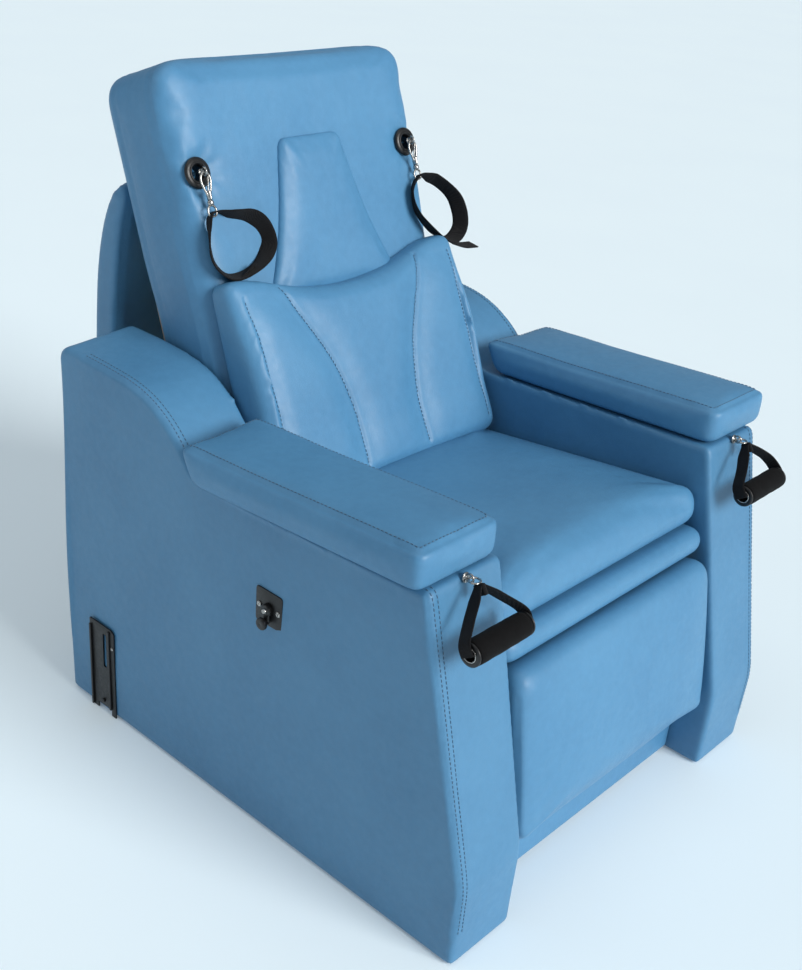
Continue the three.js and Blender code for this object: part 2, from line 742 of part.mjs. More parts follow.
function addSideLever() {
  const face = outerFace(-1, LEVER_Y, LEVER_Z);
  const rim = roundedOutline([
    [-28, -30],
    [28, -30],
    [28, 30],
    [-28, 30],
  ], 8);
  const screwHoles = [-20, 20].map((y) => rodX(2.9, -5, 1, y, 0, 16));
  const pinHole = rodX(4.3, -5, 1, 0, 0, 20);
  const plate = cut(sweepX(rim, -2.8, -GAP), ...screwHoles, pinHole);
  part(face, 'lever_plate', plate, BLACK_STEEL);
  for (const [end, y] of [['front', -20], ['rear', 20]]) {
    const screw = join(rodX(2.4, -4, -GAP, y, 0, 14), rodX(4.6, -5, -3.1, y, 0, 18));
    part(face, `lever_screw_${end}`, screw, BRIGHT_STEEL);
  }
  part(face, 'lever_pivot_pin', rodX(4, -13, -GAP, 0, 0, 18), BRIGHT_STEEL);
  const hub = rodX(10, -11, -3.2, 0, 0, 24);
  const crank = box(-9, -4, -5, 5, -22, 0);
  const knob = rodX(8, -21, -5, 0, -20, 20);
  const bore = rodX(4.3, -12, -2, 0, 0, 20);
  part(face, 'recline_handle', cut(join(hub, crank, knob), bore), BLACK_PLASTIC);
}

function wheelBracket(side) {
  const profile = outline([
    [-34, 0.6],
    [-34, 187],
    [34, 187],
    [34, 0.6],
    [16, 0.6],
    [16, 13],
    [-16, 13],
    [-16, 0.6],
  ]);
  const [low, high] = spanX(side, GAP, GAP + 3);
  const plate = sweepX(profile, low, high);
  const [holeLow, holeHigh] = spanX(side, -1, 5);
  const slot = box(holeLow, holeHigh, -10, -2, 103, 167);
  const [axleLow, axleHigh] = spanX(side, -30, 1);
  const axle = rodX(4, axleLow, axleHigh, 0, WHEEL_Z, 18);
  return join(cut(plate, slot), axle);
}

function wheel(side) {
  const profile = [
    [4.3, -9],
    [17, -9],
    [20, -6],
    [20, 6],
    [17, 9],
    [4.3, 9],
    [4.3, -9],
  ].map(([radius, along]) => new THREE.Vector2(radius, along));
  const disc = new THREE.LatheGeometry(profile, 28).rotateZ(Math.PI / 2);
  return disc.translate(-side * 16, 0, WHEEL_Z);
}

function addWheels() {
  for (const { side, tag } of SIDES) {
    const face = outerFace(side, BRACKET_Y, 0);
    part(face, `wheel_bracket_${tag}`, wheelBracket(side), BLACK_STEEL);
    part(face, `transport_wheel_${tag}`, wheel(side), BLACK_RUBBER);
  }
}

addArms();
addSeat();
addBase();
addBackrest();
addBackPivots();
addLegrest();
addGasSpring();
addHandles();
addSideLever();
addWheels();

export default chair;
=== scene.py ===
import json
import math

import bpy
import numpy as np
from mathutils import Matrix, Vector
from mathutils.bvhtree import BVHTree


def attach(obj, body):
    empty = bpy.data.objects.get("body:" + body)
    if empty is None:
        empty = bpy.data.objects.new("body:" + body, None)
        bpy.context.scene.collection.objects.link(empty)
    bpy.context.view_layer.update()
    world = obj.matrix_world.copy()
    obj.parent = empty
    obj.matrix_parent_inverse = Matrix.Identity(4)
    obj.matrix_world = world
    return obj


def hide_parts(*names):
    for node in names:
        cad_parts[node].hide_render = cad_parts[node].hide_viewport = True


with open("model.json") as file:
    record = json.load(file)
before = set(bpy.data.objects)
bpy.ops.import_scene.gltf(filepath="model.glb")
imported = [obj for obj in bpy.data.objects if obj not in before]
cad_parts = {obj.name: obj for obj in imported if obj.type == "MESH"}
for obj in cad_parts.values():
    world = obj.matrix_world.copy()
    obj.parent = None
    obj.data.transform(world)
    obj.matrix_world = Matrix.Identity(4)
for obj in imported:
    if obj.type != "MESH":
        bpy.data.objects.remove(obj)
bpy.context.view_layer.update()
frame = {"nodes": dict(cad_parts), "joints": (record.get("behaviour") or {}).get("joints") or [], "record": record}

SIDES = ((-1, "left"), (1, "right"))
JOINTS = {joint["name"]: joint for joint in frame["joints"]}


# ------------------------------------------------------------------ camera, light, floor
# The camera's values are the result of a numeric fit to the photo's view.
CAMERA_PLACE = (-1.603, -1.3015, 1.489)
CAMERA_HEADING = math.radians(-50.503)
CAMERA_DOWN = math.radians(27.213)
CAMERA_ROLL = math.radians(6.035)
SENSOR_WIDTH = 36
LENS = 49.165
CAMERA_SHIFT = (0.00503, 0.01025)


def add_camera():
    a, e, r = CAMERA_HEADING, CAMERA_DOWN, CAMERA_ROLL
    ahead = Vector((-math.sin(a) * math.cos(e), math.cos(a) * math.cos(e), -math.sin(e)))
    level = Vector((math.cos(a), math.sin(a), 0))
    raised = level.cross(ahead)
    right = math.cos(r) * level + math.sin(r) * raised
    up = math.cos(r) * raised - math.sin(r) * level
    data = bpy.data.cameras.new("camera")
    data.sensor_width = SENSOR_WIDTH
    data.lens = LENS
    data.shift_x, data.shift_y = CAMERA_SHIFT
    camera = bpy.data.objects.new("camera", data)
    bpy.context.collection.objects.link(camera)
    turn = Matrix((right, up, -ahead)).transposed().to_4x4()
    camera.matrix_world = Matrix.Translation(CAMERA_PLACE) @ turn
    bpy.context.scene.camera = camera


def area_light(name, place, target, width, height, power, colour=(1, 1, 1)):
    data = bpy.data.lights.new(name, "AREA")
    data.shape = "RECTANGLE"
    data.size = width
    data.size_y = height
    data.energy = power
    data.color = colour
    lamp = bpy.data.objects.new(name, data)
    lamp.location = place
    lamp.rotation_euler = (Vector(target) - Vector(place)).to_track_quat("-Z", "Y").to_euler()
    bpy.context.collection.objects.link(lamp)


def sun(name, direction, power, spread, colour=(1, 1, 1)):
    data = bpy.data.lights.new(name, "SUN")
    data.energy = power
    data.angle = math.radians(spread)
    data.color = colour
    lamp = bpy.data.objects.new(name, data)
    lamp.rotation_euler = Vector(direction).to_track_quat("-Z", "Y").to_euler()
    bpy.context.collection.objects.link(lamp)


def add_studio():
    sun("key", (-0.10, 0.93, -0.46), 3.25, 30, (1, 0.99, 0.97))
    sun("top", (0.10, -0.05, -1.0), 0.5, 50)
    area_light("rim", (-2.6, 1.8, 2.4), (0, 0.1, 0.6), 1.6, 1.6, 9, (0.95, 0.97, 1))
    world = bpy.data.worlds.new("studio")
    world.use_nodes = True
    world.node_tree.nodes["Background"].inputs["Color"].default_value = (0.80, 0.88, 0.95, 1)
    world.node_tree.nodes["Background"].inputs["Strength"].default_value = 0.35
    bpy.context.scene.world = world
    bpy.context.scene.view_settings.view_transform = "Standard"


def add_floor():
    reach, height = 14.0, -0.0005
    corners = ((-reach, -reach), (reach, -reach), (reach, reach), (-reach, reach))
    floor = mesh_object("floor", [(x, y, height) for x, y in corners], [(0, 1, 2, 3)])
    floor.data.materials.append(floor_material())


# ------------------------------------------------------------------ node helpers
def new_material(name):
    material = bpy.data.materials.new(name)
    material.use_nodes = True
    tree = material.node_tree
    return material, tree, tree.nodes["Principled BSDF"]


def node(tree, kind, **settings):
    made = tree.nodes.new(kind)
    for key, value in settings.items():
        if key.startswith("in_"):
            made.inputs[key[3:].replace("_", " ")].default_value = value
        else:
            setattr(made, key, value)
    return made


def place_input(tree):
    return tree.nodes.new("ShaderNodeTexCoord").outputs["Object"]


def noise_map(tree, scale, detail=3.0, roughness=0.5):
    made = node(tree, "ShaderNodeTexNoise", in_Scale=scale, in_Detail=detail, in_Roughness=roughness)
    tree.links.new(place_input(tree), made.inputs["Vector"])
    return made.outputs["Fac"]


def remap(tree, value, low, high, out_low, out_high):
    made = node(tree, "ShaderNodeMapRange")
    made.inputs["From Min"].default_value = low
    made.inputs["From Max"].default_value = high
    made.inputs["To Min"].default_value = out_low
    made.inputs["To Max"].default_value = out_high
    tree.links.new(value, made.inputs["Value"])
    return made.outputs["Result"]


def mix_colour(tree, factor, first, second):
    made = node(tree, "ShaderNodeMix", data_type="RGBA")
    for socket, value in ((made.inputs[6], first), (made.inputs[7], second)):
        if hasattr(value, "links"):
            tree.links.new(value, socket)
        else:
            socket.default_value = (*value, 1)
    if hasattr(factor, "links"):
        tree.links.new(factor, made.inputs[0])
    else:
        made.inputs[0].default_value = factor
    return made.outputs[2]


def bump(tree, height, strength, distance, below=None):
    made = node(tree, "ShaderNodeBump", in_Strength=strength, in_Distance=distance)
    tree.links.new(height, made.inputs["Height"])
    if below is not None:
        tree.links.new(below, made.inputs["Normal"])
    return made.outputs["Normal"]


def finish_surface(tree, shader, colour, roughness, normal=None,
                   metallic=0.0, coat=0.0, coat_rough=0.3, sheen=0.0):
    for name, value in (("Base Color", colour), ("Roughness", roughness)):
        if hasattr(value, "links"):
            tree.links.new(value, shader.inputs[name])
        elif name == "Base Color":
            shader.inputs[name].default_value = (*value, 1)
        else:
            shader.inputs[name].default_value = value
    if normal is not None:
        tree.links.new(normal, shader.inputs["Normal"])
    shader.inputs["Metallic"].default_value = metallic
    shader.inputs["Coat Weight"].default_value = coat
    shader.inputs["Coat Roughness"].default_value = coat_rough
    shader.inputs["Sheen Weight"].default_value = sheen


# ------------------------------------------------------------------ materials
def floor_material():
    material, tree, shader = new_material("pale_floor")
    colour = mix_colour(tree, noise_map(tree, 1.5), (0.70, 0.80, 0.85), (0.73, 0.83, 0.87))
    finish_surface(tree, shader, colour, 0.85)
    shader.inputs["Emission Color"].default_value = (0.78, 0.88, 0.94, 1)
    shader.inputs["Emission Strength"].default_value = 0.14
    return material


def leather(name, base, shadow):
    """Coated upholstery fabric: broad tone drift, a pebbled grain and shallow handling dents."""
    material, tree, shader = new_material(name)
    drift = remap(tree, noise_map(tree, 5.5, 2.0), 0.3, 0.7, 0.0, 1.0)
    colour = mix_colour(tree, drift, base, shadow)
    mottle = remap(tree, noise_map(tree, 70.0, 4.0), 0.35, 0.75, 0.0, 0.22)
    colour = mix_colour(tree, mottle, colour, tuple(1.25 * channel for channel in base))
    cells = node(tree, "ShaderNodeTexVoronoi", in_Scale=620.0, feature="DISTANCE_TO_EDGE")
    tree.links.new(place_input(tree), cells.inputs["Vector"])
    pebbles = remap(tree, cells.outputs["Distance"], 0.0, 0.22, 0.0, 1.0)
    dents = bump(tree, noise_map(tree, 16.0, 2.0), 0.30, 0.006)
    creased = bump(tree, noise_map(tree, 210.0, 4.0, 0.65), 0.22, 0.0012, dents)
    grain = bump(tree, pebbles, 0.16, 0.0005, creased)
    roughness = remap(tree, noise_map(tree, 90.0, 3.0), 0.3, 0.7, 0.43, 0.53)
    finish_surface(tree, shader, colour, roughness, grain, coat=0.05, coat_rough=0.35)
    return material


def thread_material():
    material, tree, shader = new_material("blue_thread")
    twist = node(tree, "ShaderNodeTexWave", in_Scale=900.0, in_Distortion=0.5)
    tree.links.new(place_input(tree), twist.inputs["Vector"])
    colour = mix_colour(tree, noise_map(tree, 300.0), (0.022, 0.080, 0.150), (0.040, 0.125, 0.215))
    finish_surface(tree, shader, colour, 0.6, bump(tree, twist.outputs["Fac"], 0.3, 0.0003), sheen=0.2)
    return material


def webbing_material():
    material, tree, shader = new_material("black_webbing")
    rib = node(tree, "ShaderNodeTexWave", in_Scale=260.0, in_Distortion=1.2, bands_direction="DIAGONAL")
    tree.links.new(place_input(tree), rib.inputs["Vector"])
    cross = node(tree, "ShaderNodeTexWave", in_Scale=330.0, in_Distortion=0.8, bands_direction="Z")
    tree.links.new(place_input(tree), cross.inputs["Vector"])
    weave = bump(tree, cross.outputs["Fac"], 0.5, 0.0006, bump(tree, rib.outputs["Fac"], 0.6, 0.0007))
    colour = mix_colour(tree, noise_map(tree, 240.0, 5.0), (0.0020, 0.0020, 0.0025), (0.0070, 0.0070, 0.0085))
    finish_surface(tree, shader, colour, 0.85, weave, sheen=0.03)
    shader.inputs["Specular IOR Level"].default_value = 0.22
    return material


def foam_material():
    material, tree, shader = new_material("black_foam")
    pores = node(tree, "ShaderNodeTexVoronoi", in_Scale=700.0)
    tree.links.new(place_input(tree), pores.inputs["Vector"])
    skin = bump(tree, pores.outputs["Distance"], 0.5, 0.0006, bump(tree, noise_map(tree, 60.0), 0.3, 0.002))
    colour = mix_colour(tree, noise_map(tree, 180.0, 5.0), (0.0014, 0.0014, 0.0016), (0.0042, 0.0042, 0.0048))
    finish_surface(tree, shader, colour, 0.88, skin, sheen=0.02)
    shader.inputs["Specular IOR Level"].default_value = 0.14
    return material


def plastic_material(name, base, rough):
    material, tree, shader = new_material(name)
    lighter = tuple(1.8 * channel + 0.003 for channel in base)
    colour = mix_colour(tree, remap(tree, noise_map(tree, 120.0, 4.0), 0.4, 0.8, 0.0, 0.6), base, lighter)
    roughness = remap(tree, noise_map(tree, 260.0, 3.0), 0.3, 0.7, rough - 0.06, rough + 0.08)
    finish_surface(tree, shader, colour, roughness, bump(tree, noise_map(tree, 900.0, 2.0), 0.15, 0.0003))
    return material


def steel_material(name, base, rough, scratch):
    material, tree, shader = new_material(name)
    dull = tuple(0.72 * channel for channel in base)
    colour = mix_colour(tree, remap(tree, noise_map(tree, 160.0, 5.0), 0.4, 0.75, 0.0, 0.7), base, dull)
    roughness = remap(tree, noise_map(tree, 420.0, 4.0), 0.3, 0.7, rough - 0.07, rough + 0.12)
    finish_surface(tree, shader, colour, roughness, bump(tree, noise_map(tree, 700.0, 4.0), scratch, 0.0003),
                   metallic=1.0)
    return material


def powder_material():
    material, tree, shader = new_material("black_powder_coat")
    colour = mix_colour(tree, remap(tree, noise_map(tree, 90.0, 5.0), 0.45, 0.8, 0.0, 0.5),
                        (0.003, 0.003, 0.0035), (0.010, 0.010, 0.011))
    orange_peel = bump(tree, noise_map(tree, 1100.0, 2.0), 0.25, 0.0003)
    roughness = remap(tree, noise_map(tree, 200.0), 0.3, 0.7, 0.34, 0.5)
    finish_surface(tree, shader, colour, roughness, orange_peel)
    return material


def plywood_material():
    material, tree, shader = new_material("birch_plywood")
    rings = node(tree, "ShaderNodeTexWave", in_Scale=48.0, in_Distortion=5.0, in_Detail=2.0,
                 bands_direction="Z")
    tree.links.new(place_input(tree), rings.inputs["Vector"])
    colour = mix_colour(tree, rings.outputs["Fac"], (0.50, 0.36, 0.21), (0.43, 0.30, 0.165))
    fibres = bump(tree, noise_map(tree, 500.0, 4.0), 0.25, 0.0004)
    finish_surface(tree, shader, colour, 0.7, fibres)
    return material


BLUE = (0.074, 0.232, 0.408)
BLUE_DEEP = (0.060, 0.202, 0.368)
# Painted shade: the arm boxes and rear shell use a darker copy of the same blue leather, standing in for the shade
# on their sides.
SHADED_SIDE_TONE = 0.93
MATERIALS = {}


def make_materials():
    MATERIALS["blue_leather"] = leather("blue_leather", BLUE, BLUE_DEEP)
    # Painted shade: a darker copy of the same leather for the shaded sides of the arm boxes and rear shell.
    shaded_side_blues = [tuple(SHADED_SIDE_TONE * channel for channel in blue) for blue in (BLUE, BLUE_DEEP)]
    MATERIALS["side_leather"] = leather("side_leather", *shaded_side_blues)
    MATERIALS["thread"] = thread_material()
    MATERIALS["webbing"] = webbing_material()
    MATERIALS["foam_rubber"] = foam_material()
    MATERIALS["black_plastic"] = plastic_material("black_plastic", (0.004, 0.004, 0.0045), 0.36)
    MATERIALS["wheel_rubber"] = plastic_material("wheel_rubber", (0.013, 0.013, 0.014), 0.75)
    MATERIALS["bright_steel"] = steel_material("nickel_plate", (0.44, 0.43, 0.41), 0.22, 0.12)
    MATERIALS["black_steel"] = powder_material()
    MATERIALS["plywood"] = plywood_material()


# ------------------------------------------------------------------ mesh helpers
def mesh_object(name, vertices, faces, smooth=True):
    mesh = bpy.data.meshes.new(name)
    mesh.from_pydata([tuple(v) for v in vertices], [], [tuple(f) for f in faces])
    mesh.validate()
    mesh.update()
    made = bpy.data.objects.new(name, mesh)
    bpy.context.collection.objects.link(made)
    if smooth:
        mesh.polygons.foreach_set("use_smooth", [True] * len(mesh.polygons))
    return made


def coords(made):
    flat = np.empty(len(made.data.vertices) * 3)
    made.data.vertices.foreach_get("co", flat)
    return flat.reshape(-1, 3)


def normals(made):
    flat = np.empty(len(made.data.vertices) * 3)
    made.data.vertices.foreach_get("normal", flat)
    return flat.reshape(-1, 3)


def set_coords(made, points):
    made.data.vertices.foreach_set("co", np.asarray(points, dtype=float).ravel())
    made.data.update()


def bake_modifiers(made):
    graph = bpy.context.evaluated_depsgraph_get()
    fresh = bpy.data.meshes.new_from_object(made.evaluated_get(graph))
    old = made.data
    made.modifiers.clear()
    made.data = fresh
    bpy.data.meshes.remove(old)
    fresh.name = made.name
    fresh.polygons.foreach_set("use_smooth", [True] * len(fresh.polygons))


def remesh(made, size, smooth=3):
    voxel = made.modifiers.new("voxel", "REMESH")
    voxel.mode = "VOXEL"
    voxel.voxel_size = size
    relax = made.modifiers.new("relax", "SMOOTH")
    relax.factor = 0.5
    relax.iterations = smooth
    bake_modifiers(made)


def subdivide(made):
    finer = made.modifiers.new("finer", "SUBSURF")
    finer.levels = 1
    finer.render_levels = 1
    bake_modifiers(made)


def cut_out(made, tool):
    """Removes the tool's volume from a piece, and then the tool."""
    cutter = made.modifiers.new("cut", "BOOLEAN")
    cutter.operation = "DIFFERENCE"
    cutter.solver = "EXACT"
    cutter.object = tool
    bake_modifiers(made)
    bpy.data.objects.remove(tool)


def to_world(matrix, line):
    turn = np.array(matrix.to_3x3())
    return np.asarray(line) @ turn.T + np.array(matrix.translation)


def into_frame(matrix, points):
    return to_world(matrix.inverted(), points)


def relax_surface(made, rounds):
    relax = made.modifiers.new("relax", "SMOOTH")
    relax.factor = 0.5
    relax.iterations = rounds
    bake_modifiers(made)


def fit_to(made, place, low, high):
    """Scales a piece in its own frame until it fills these bounds; None leaves a bound as it is."""
    local = into_frame(place, coords(made))
    least, most = local.min(0), local.max(0)
    low = np.array([bound if low[k] is None else low[k] for k, bound in enumerate(least)])
    high = np.array([bound if high[k] is None else high[k] for k, bound in enumerate(most)])
    set_coords(made, to_world(place, low + (local - least) / (most - least) * (high - low)))


def move_mesh(made, matrix):
    made.data.transform(matrix)
    made.data.update()


def step(value, low, high):
    t = np.clip((value - low) / (high - low), 0.0, 1.0)
    return t * t * (3 - 2 * t)


# ------------------------------------------------------------------ outlines and padded forms
def round_corners(points, radii, steps=6):
    """A closed outline with an arc-like curve of its own radius at each corner."""
    corners = [np.array(point, float) for point in points]
    count = len(corners)
    loop = []
    for i, corner in enumerate(corners):
        radius = radii[i] if hasattr(radii, "__len__") else radii
        before, after = corners[i - 1] - corner, corners[(i + 1) % count] - corner
        back = min(radius, np.linalg.norm(before) * 0.49)
        on = min(radius, np.linalg.norm(after) * 0.49)
        start = corner + before / np.linalg.norm(before) * back
        end = corner + after / np.linalg.norm(after) * on
        for k in range(steps + 1):
            t = k / steps
            loop.append((1 - t) ** 2 * start + 2 * t * (1 - t) * corner + t * t * end)
    return densify(np.array(loop), 0.02)


def densify(loop, longest):
    out = []
    for i, point in enumerate(loop):
        after = loop[(i + 1) % len(loop)]
        pieces = max(1, int(math.ceil(np.linalg.norm(after - point) / longest)))
        for k in range(pieces):
            out.append(point + (after - point) * k / pieces)
    return np.array(out)


def inset(loop, distance):
    """The outline moved inwards; the outline runs anticlockwise."""
    along = np.roll(loop, -1, 0) - np.roll(loop, 1, 0)
    along /= np.linalg.norm(along, axis=1)[:, None]
    return loop + np.stack([-along[:, 1], along[:, 0]], 1) * distance


def pad_form(name, loop, thickness, near_round, far_round, to_local, steps=5):
    """A slab with this outline and quarter-round edges. Its far face is at w = thickness."""
    rings = []
    for k in range(steps + 1):
        angle = math.pi / 2 * k / steps
        rings.append((near_round * (1 - math.sin(angle)), near_round * (1 - math.cos(angle))))
    for k in range(steps + 1):
        angle = math.pi / 2 * k / steps
        rings.append((far_round * (1 - math.cos(angle)), thickness - far_round * (1 - math.sin(angle))))
    vertices = []
    for depth, w in rings:
        for u, v in inset(loop, depth):
            vertices.append(to_local(u, v, w))
    n = len(loop)
    faces = [tuple(range(n - 1, -1, -1))]
    for r in range(len(rings) - 1):
        for i in range(n):
            j = (i + 1) % n
            faces.append((r * n + i, r * n + j, (r + 1) * n + j, (r + 1) * n + i))
    faces.append(tuple(range((len(rings) - 1) * n, len(rings) * n)))
    return mesh_object(name, vertices, faces)


def lying(u, v, w):
    return (u, v, w)


def facing(front):
    """Outline in x and z, thickness towards -Y, its rear face at y = front."""
    return lambda u, v, w: (u, front - w, v)


def sideways(start):
    """Outline in y and z, thickness towards +X."""
    return lambda u, v, w: (start + w, u, v)


PUFFED = []


def puff(made, pressure, cap, pinned):
    """Queues a cushion for the pressure simulation; pinned(points) gives each point's hold, 0 to 1."""
    PUFFED.append((made, pressure, cap, pinned))


def run_simulation(last=20):
    """Swells every queued cushion at once under cloth pressure, then limits how far each point moved."""
    starts = {}
    for made, pressure, _, pinned in PUFFED:
        points = coords(made)
        starts[made.name] = points
        hold = made.vertex_groups.new(name="hold")
        weights = np.round(np.clip(pinned(points), 0, 1), 2)
        for weight in np.unique(weights):
            if weight > 0:
                hold.add(np.nonzero(weights == weight)[0].tolist(), float(weight), "REPLACE")
        cloth = made.modifiers.new("cloth", "CLOTH")
        cloth.settings.quality = 4
        cloth.settings.mass = 0.35
        cloth.settings.tension_stiffness = 12
        cloth.settings.compression_stiffness = 12
        cloth.settings.bending_stiffness = 0.6
        cloth.settings.use_pressure = True
        cloth.settings.uniform_pressure_force = pressure
        cloth.settings.vertex_group_mass = "hold"
        cloth.settings.effector_weights.gravity = 0
        cloth.point_cache.frame_start = 1
        cloth.point_cache.frame_end = last
    scene = bpy.context.scene
    for number in range(1, last + 1):
        scene.frame_set(number)
    for made, _, cap, _ in PUFFED:
        bake_modifiers(made)
        start = starts[made.name]
        moved = coords(made) - start
        far = np.linalg.norm(moved, axis=1)[:, None]
        limited = moved * np.where(far > 1e-9, cap * np.tanh(far / cap) / np.maximum(far, 1e-9), 0)
        set_coords(made, start + limited)
        made.vertex_groups.clear()
    scene.frame_set(1)
    PUFFED.clear()


# ------------------------------------------------------------------ seams and stitches
def resample(line, spacing):
    line = np.asarray(line, float)
    lengths = np.linalg.norm(np.diff(line, axis=0), axis=1)
    total = np.concatenate([[0], np.cumsum(lengths)])
    count = max(2, int(round(total[-1] / spacing)) + 1)
    places = np.linspace(0, total[-1], count)
    return np.stack([np.interp(places, total, line[:, k]) for k in range(3)], 1)


def spline_run(a, b, c, d):
    """Twelve points of a Catmull-Rom curve from b towards c."""
    return [0.5 * (2 * b + (c - a) * t + (2 * a - 5 * b + 4 * c - d) * t ** 2
                   + (3 * b - a - 3 * c + d) * t ** 3)
            for t in np.linspace(0, 1, 12, endpoint=False)]


def smooth_line(points, spacing=0.006):
    """A Catmull-Rom curve through points."""
    points = np.asarray(points, float)
    padded = np.vstack([2 * points[0] - points[1], points, 2 * points[-1] - points[-2]])
    out = []
    for i in range(1, len(padded) - 2):
        out += spline_run(*padded[i - 1:i + 3])
    out.append(padded[-2])
    return resample(np.array(out), spacing)


def line_distance(points, line):
    """Each point's distance to a polyline."""
    best = np.full(len(points), np.inf)
    low, high = line.min(0) - 0.06, line.max(0) + 0.06
    near = np.nonzero(np.all((points > low) & (points < high), axis=1))[0]
    chosen = points[near]
    found = np.full(len(near), np.inf)
    for a, b in zip(line[:-1], line[1:]):
        edge = b - a
        t = np.clip((chosen - a) @ edge / max(edge @ edge, 1e-12), 0, 1)
        found = np.minimum(found, np.linalg.norm(chosen - a - t[:, None] * edge, axis=1))
    best[near] = found
    return best


def groove(made, line, width, depth, lip=0.0):
    """Pulls the surface in along a sewn line, with an optional swelling on both sides of it."""
    points, outward = coords(made), normals(made)
    gap = line_distance(points, np.asarray(line))
    pull = -depth * np.exp(-(gap / width) ** 2) + lip * np.exp(-((gap - 2.6 * width) / (1.6 * width)) ** 2)
    pull[~np.isfinite(gap)] = 0
    set_coords(made, points + outward * pull[:, None])


def surface_tree(made):
    graph = bpy.context.evaluated_depsgraph_get()
    return BVHTree.FromObject(made, graph)


def lay_on(made, line, lift):
    """The line moved to the nearest surface, and that surface's normals."""
    tree = surface_tree(made)
    spots, outs = [], []
    for point in line:
        hit, out, _, _ = tree.find_nearest(Vector(point))
        spots.append(np.array(hit + out * lift))
        outs.append(np.array(out))
    return np.array(spots), np.array(outs)


def stitches(name, made, line, body, length=0.0056, gap=0.0018, radius=0.0008, lift=0.0001):
    """A row of separate raised threads laid on a surface along a line."""
    dense = resample(line, 0.0023)
    spots, outs = lay_on(made, dense, lift)
    lengths = np.concatenate([[0], np.cumsum(np.linalg.norm(np.diff(spots, axis=0), axis=1))])
    vertices, faces = [], []
    start = gap
    sides = 5
    profile = ((0.0, 0.25, -0.4), (0.2, 1.0, 0.3), (0.8, 1.0, 0.3), (1.0, 0.25, -0.4))
    while start + length < lengths[-1]:
        base = len(vertices)
        for along, swell, rise in profile:
            s = start + along * length
            centre = np.array([np.interp(s, lengths, spots[:, k]) for k in range(3)])
            ahead = np.array([np.interp(s + 0.001, lengths, spots[:, k]) for k in range(3)]) - centre
            out = np.array([np.interp(s, lengths, outs[:, k]) for k in range(3)])
            across = np.cross(ahead, out)
            across /= max(np.linalg.norm(across), 1e-9)
            for k in range(sides):
                angle = 2 * math.pi * k / sides
                ring = math.cos(angle) * across + math.sin(angle) * out
                vertices.append(centre + ring * radius * swell + out * radius * rise)
        for r in range(len(profile) - 1):
            for k in range(sides):
                j = (k + 1) % sides
                faces.append((base + r * sides + k, base + r * sides + j,
                              base + (r + 1) * sides + j, base + (r + 1) * sides + k))
        faces.append(tuple(base + k for k in range(sides - 1, -1, -1)))
        faces.append(tuple(base + (len(profile) - 1) * sides + k for k in range(sides)))
        start += length + gap
    row = mesh_object(name, vertices, faces)
    dress(row, "thread", body)
    return row


def dress(made, look, body, replaces=()):
    """Gives a piece its material, its body and the CAD nodes it stands for."""
    made.data.materials.clear()
    made.data.materials.append(MATERIALS[look])
    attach(made, body)
    if replaces:
        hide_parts(*replaces)


# ------------------------------------------------------------------ frames of the moving groups
SEAT_SLOPE = math.radians(7)
BACK_TILT = math.radians(21.5)
LEGREST_LEAN = math.radians(10)


def tilted(place, angle):
    return Matrix.Translation(place) @ Matrix.Rotation(-angle, 4, "X")


SEAT = tilted((0, -0.4235, 0.462), SEAT_SLOPE)
BACK = tilted(JOINTS["backrest_recline"]["pos_m"], BACK_TILT)
LEGREST = tilted(JOINTS["legrest_lift"]["pos_m"], LEGREST_LEAN)
UPRIGHT_BACK = Matrix.Translation(JOINTS["backrest_recline"]["pos_m"])


# ------------------------------------------------------------------ arm boxes
ARM_INNER_X = 0.280
ARM_OUTER_X = 0.420
ARM_FLARE = 0.03
ARM_REAR_LEAN = 0.016
HUMP_SLANT = 0.016
HUMP_RISE = 0.011
# The hump's slope follows points read off the photo through the fitted camera, then adjusted.
HUMP = ((0.4145, 0.653), (0.401, 0.668), (0.320, 0.669), (0.226, 0.665), (0.176, 0.654),
        (0.133, 0.632), (0.100, 0.606), (0.072, 0.576), (0.056, 0.5705))


def arm_outline():
    corners = [(-0.5215, 0.002), (0.3955, 0.002)]
    corners += list(HUMP)
    corners += [(-0.4065, 0.5955), (-0.4125, 0.588), (-0.5225, 0.150)]
    radii = [0.008, 0.010, 0.010, 0.010, 0.03, 0.03, 0.03, 0.03, 0.03, 0.02, 0.010, 0.006, 0.008, 0.02]
    return round_corners(corners, radii)


def arm_shape(points, side):
    """Adds the outward lean and the hump that rises and runs back towards its inner side."""
    shaped = points.copy()
    y, z = points[:, 1], points[:, 2]
    outness = np.clip((np.abs(points[:, 0]) - ARM_INNER_X) / (ARM_OUTER_X - ARM_INNER_X), 0, 1)
    lean = ARM_FLARE * z - ARM_REAR_LEAN * step(z, 0.22, 0.62) * step(y, -0.15, 0.24)
    shaped[:, 0] += side * lean * outness
    on_slope = step(y, 0.03, 0.06) * (1 - step(y, 0.24, 0.34)) * step(z, 0.555, 0.572)
    shaped[:, 1] += HUMP_SLANT * on_slope * (1 - outness)
    shaped[:, 2] += HUMP_RISE * step(z, 0.58, 0.66) * (1 - outness)
    return shaped


def seam_rim(outline, keep):
    """The part of a closed outline for which keep is true, as one open run."""
    flags = np.array([keep(point) for point in outline])
    start = int(np.nonzero(flags & ~np.roll(flags, 1))[0][0])
    return np.roll(outline, -start, 0)[:int(np.sum(flags))]


def on_arm(made, side, run, x_in, depth):
    """A line on the arm box: x_in from its outer face, depth in from its outline."""
    ring = inset(arm_outline(), depth)
    ring = ring[[int(np.argmin(np.linalg.norm(ring - point, axis=1))) for point in run[2:-2]]]
    line = np.stack([np.full(len(ring), side * (ARM_OUTER_X - x_in)), ring[:, 0], ring[:, 1]], 1)
    laid, _ = lay_on(made, resample(arm_shape(line, side), 0.008), 0)
    return laid


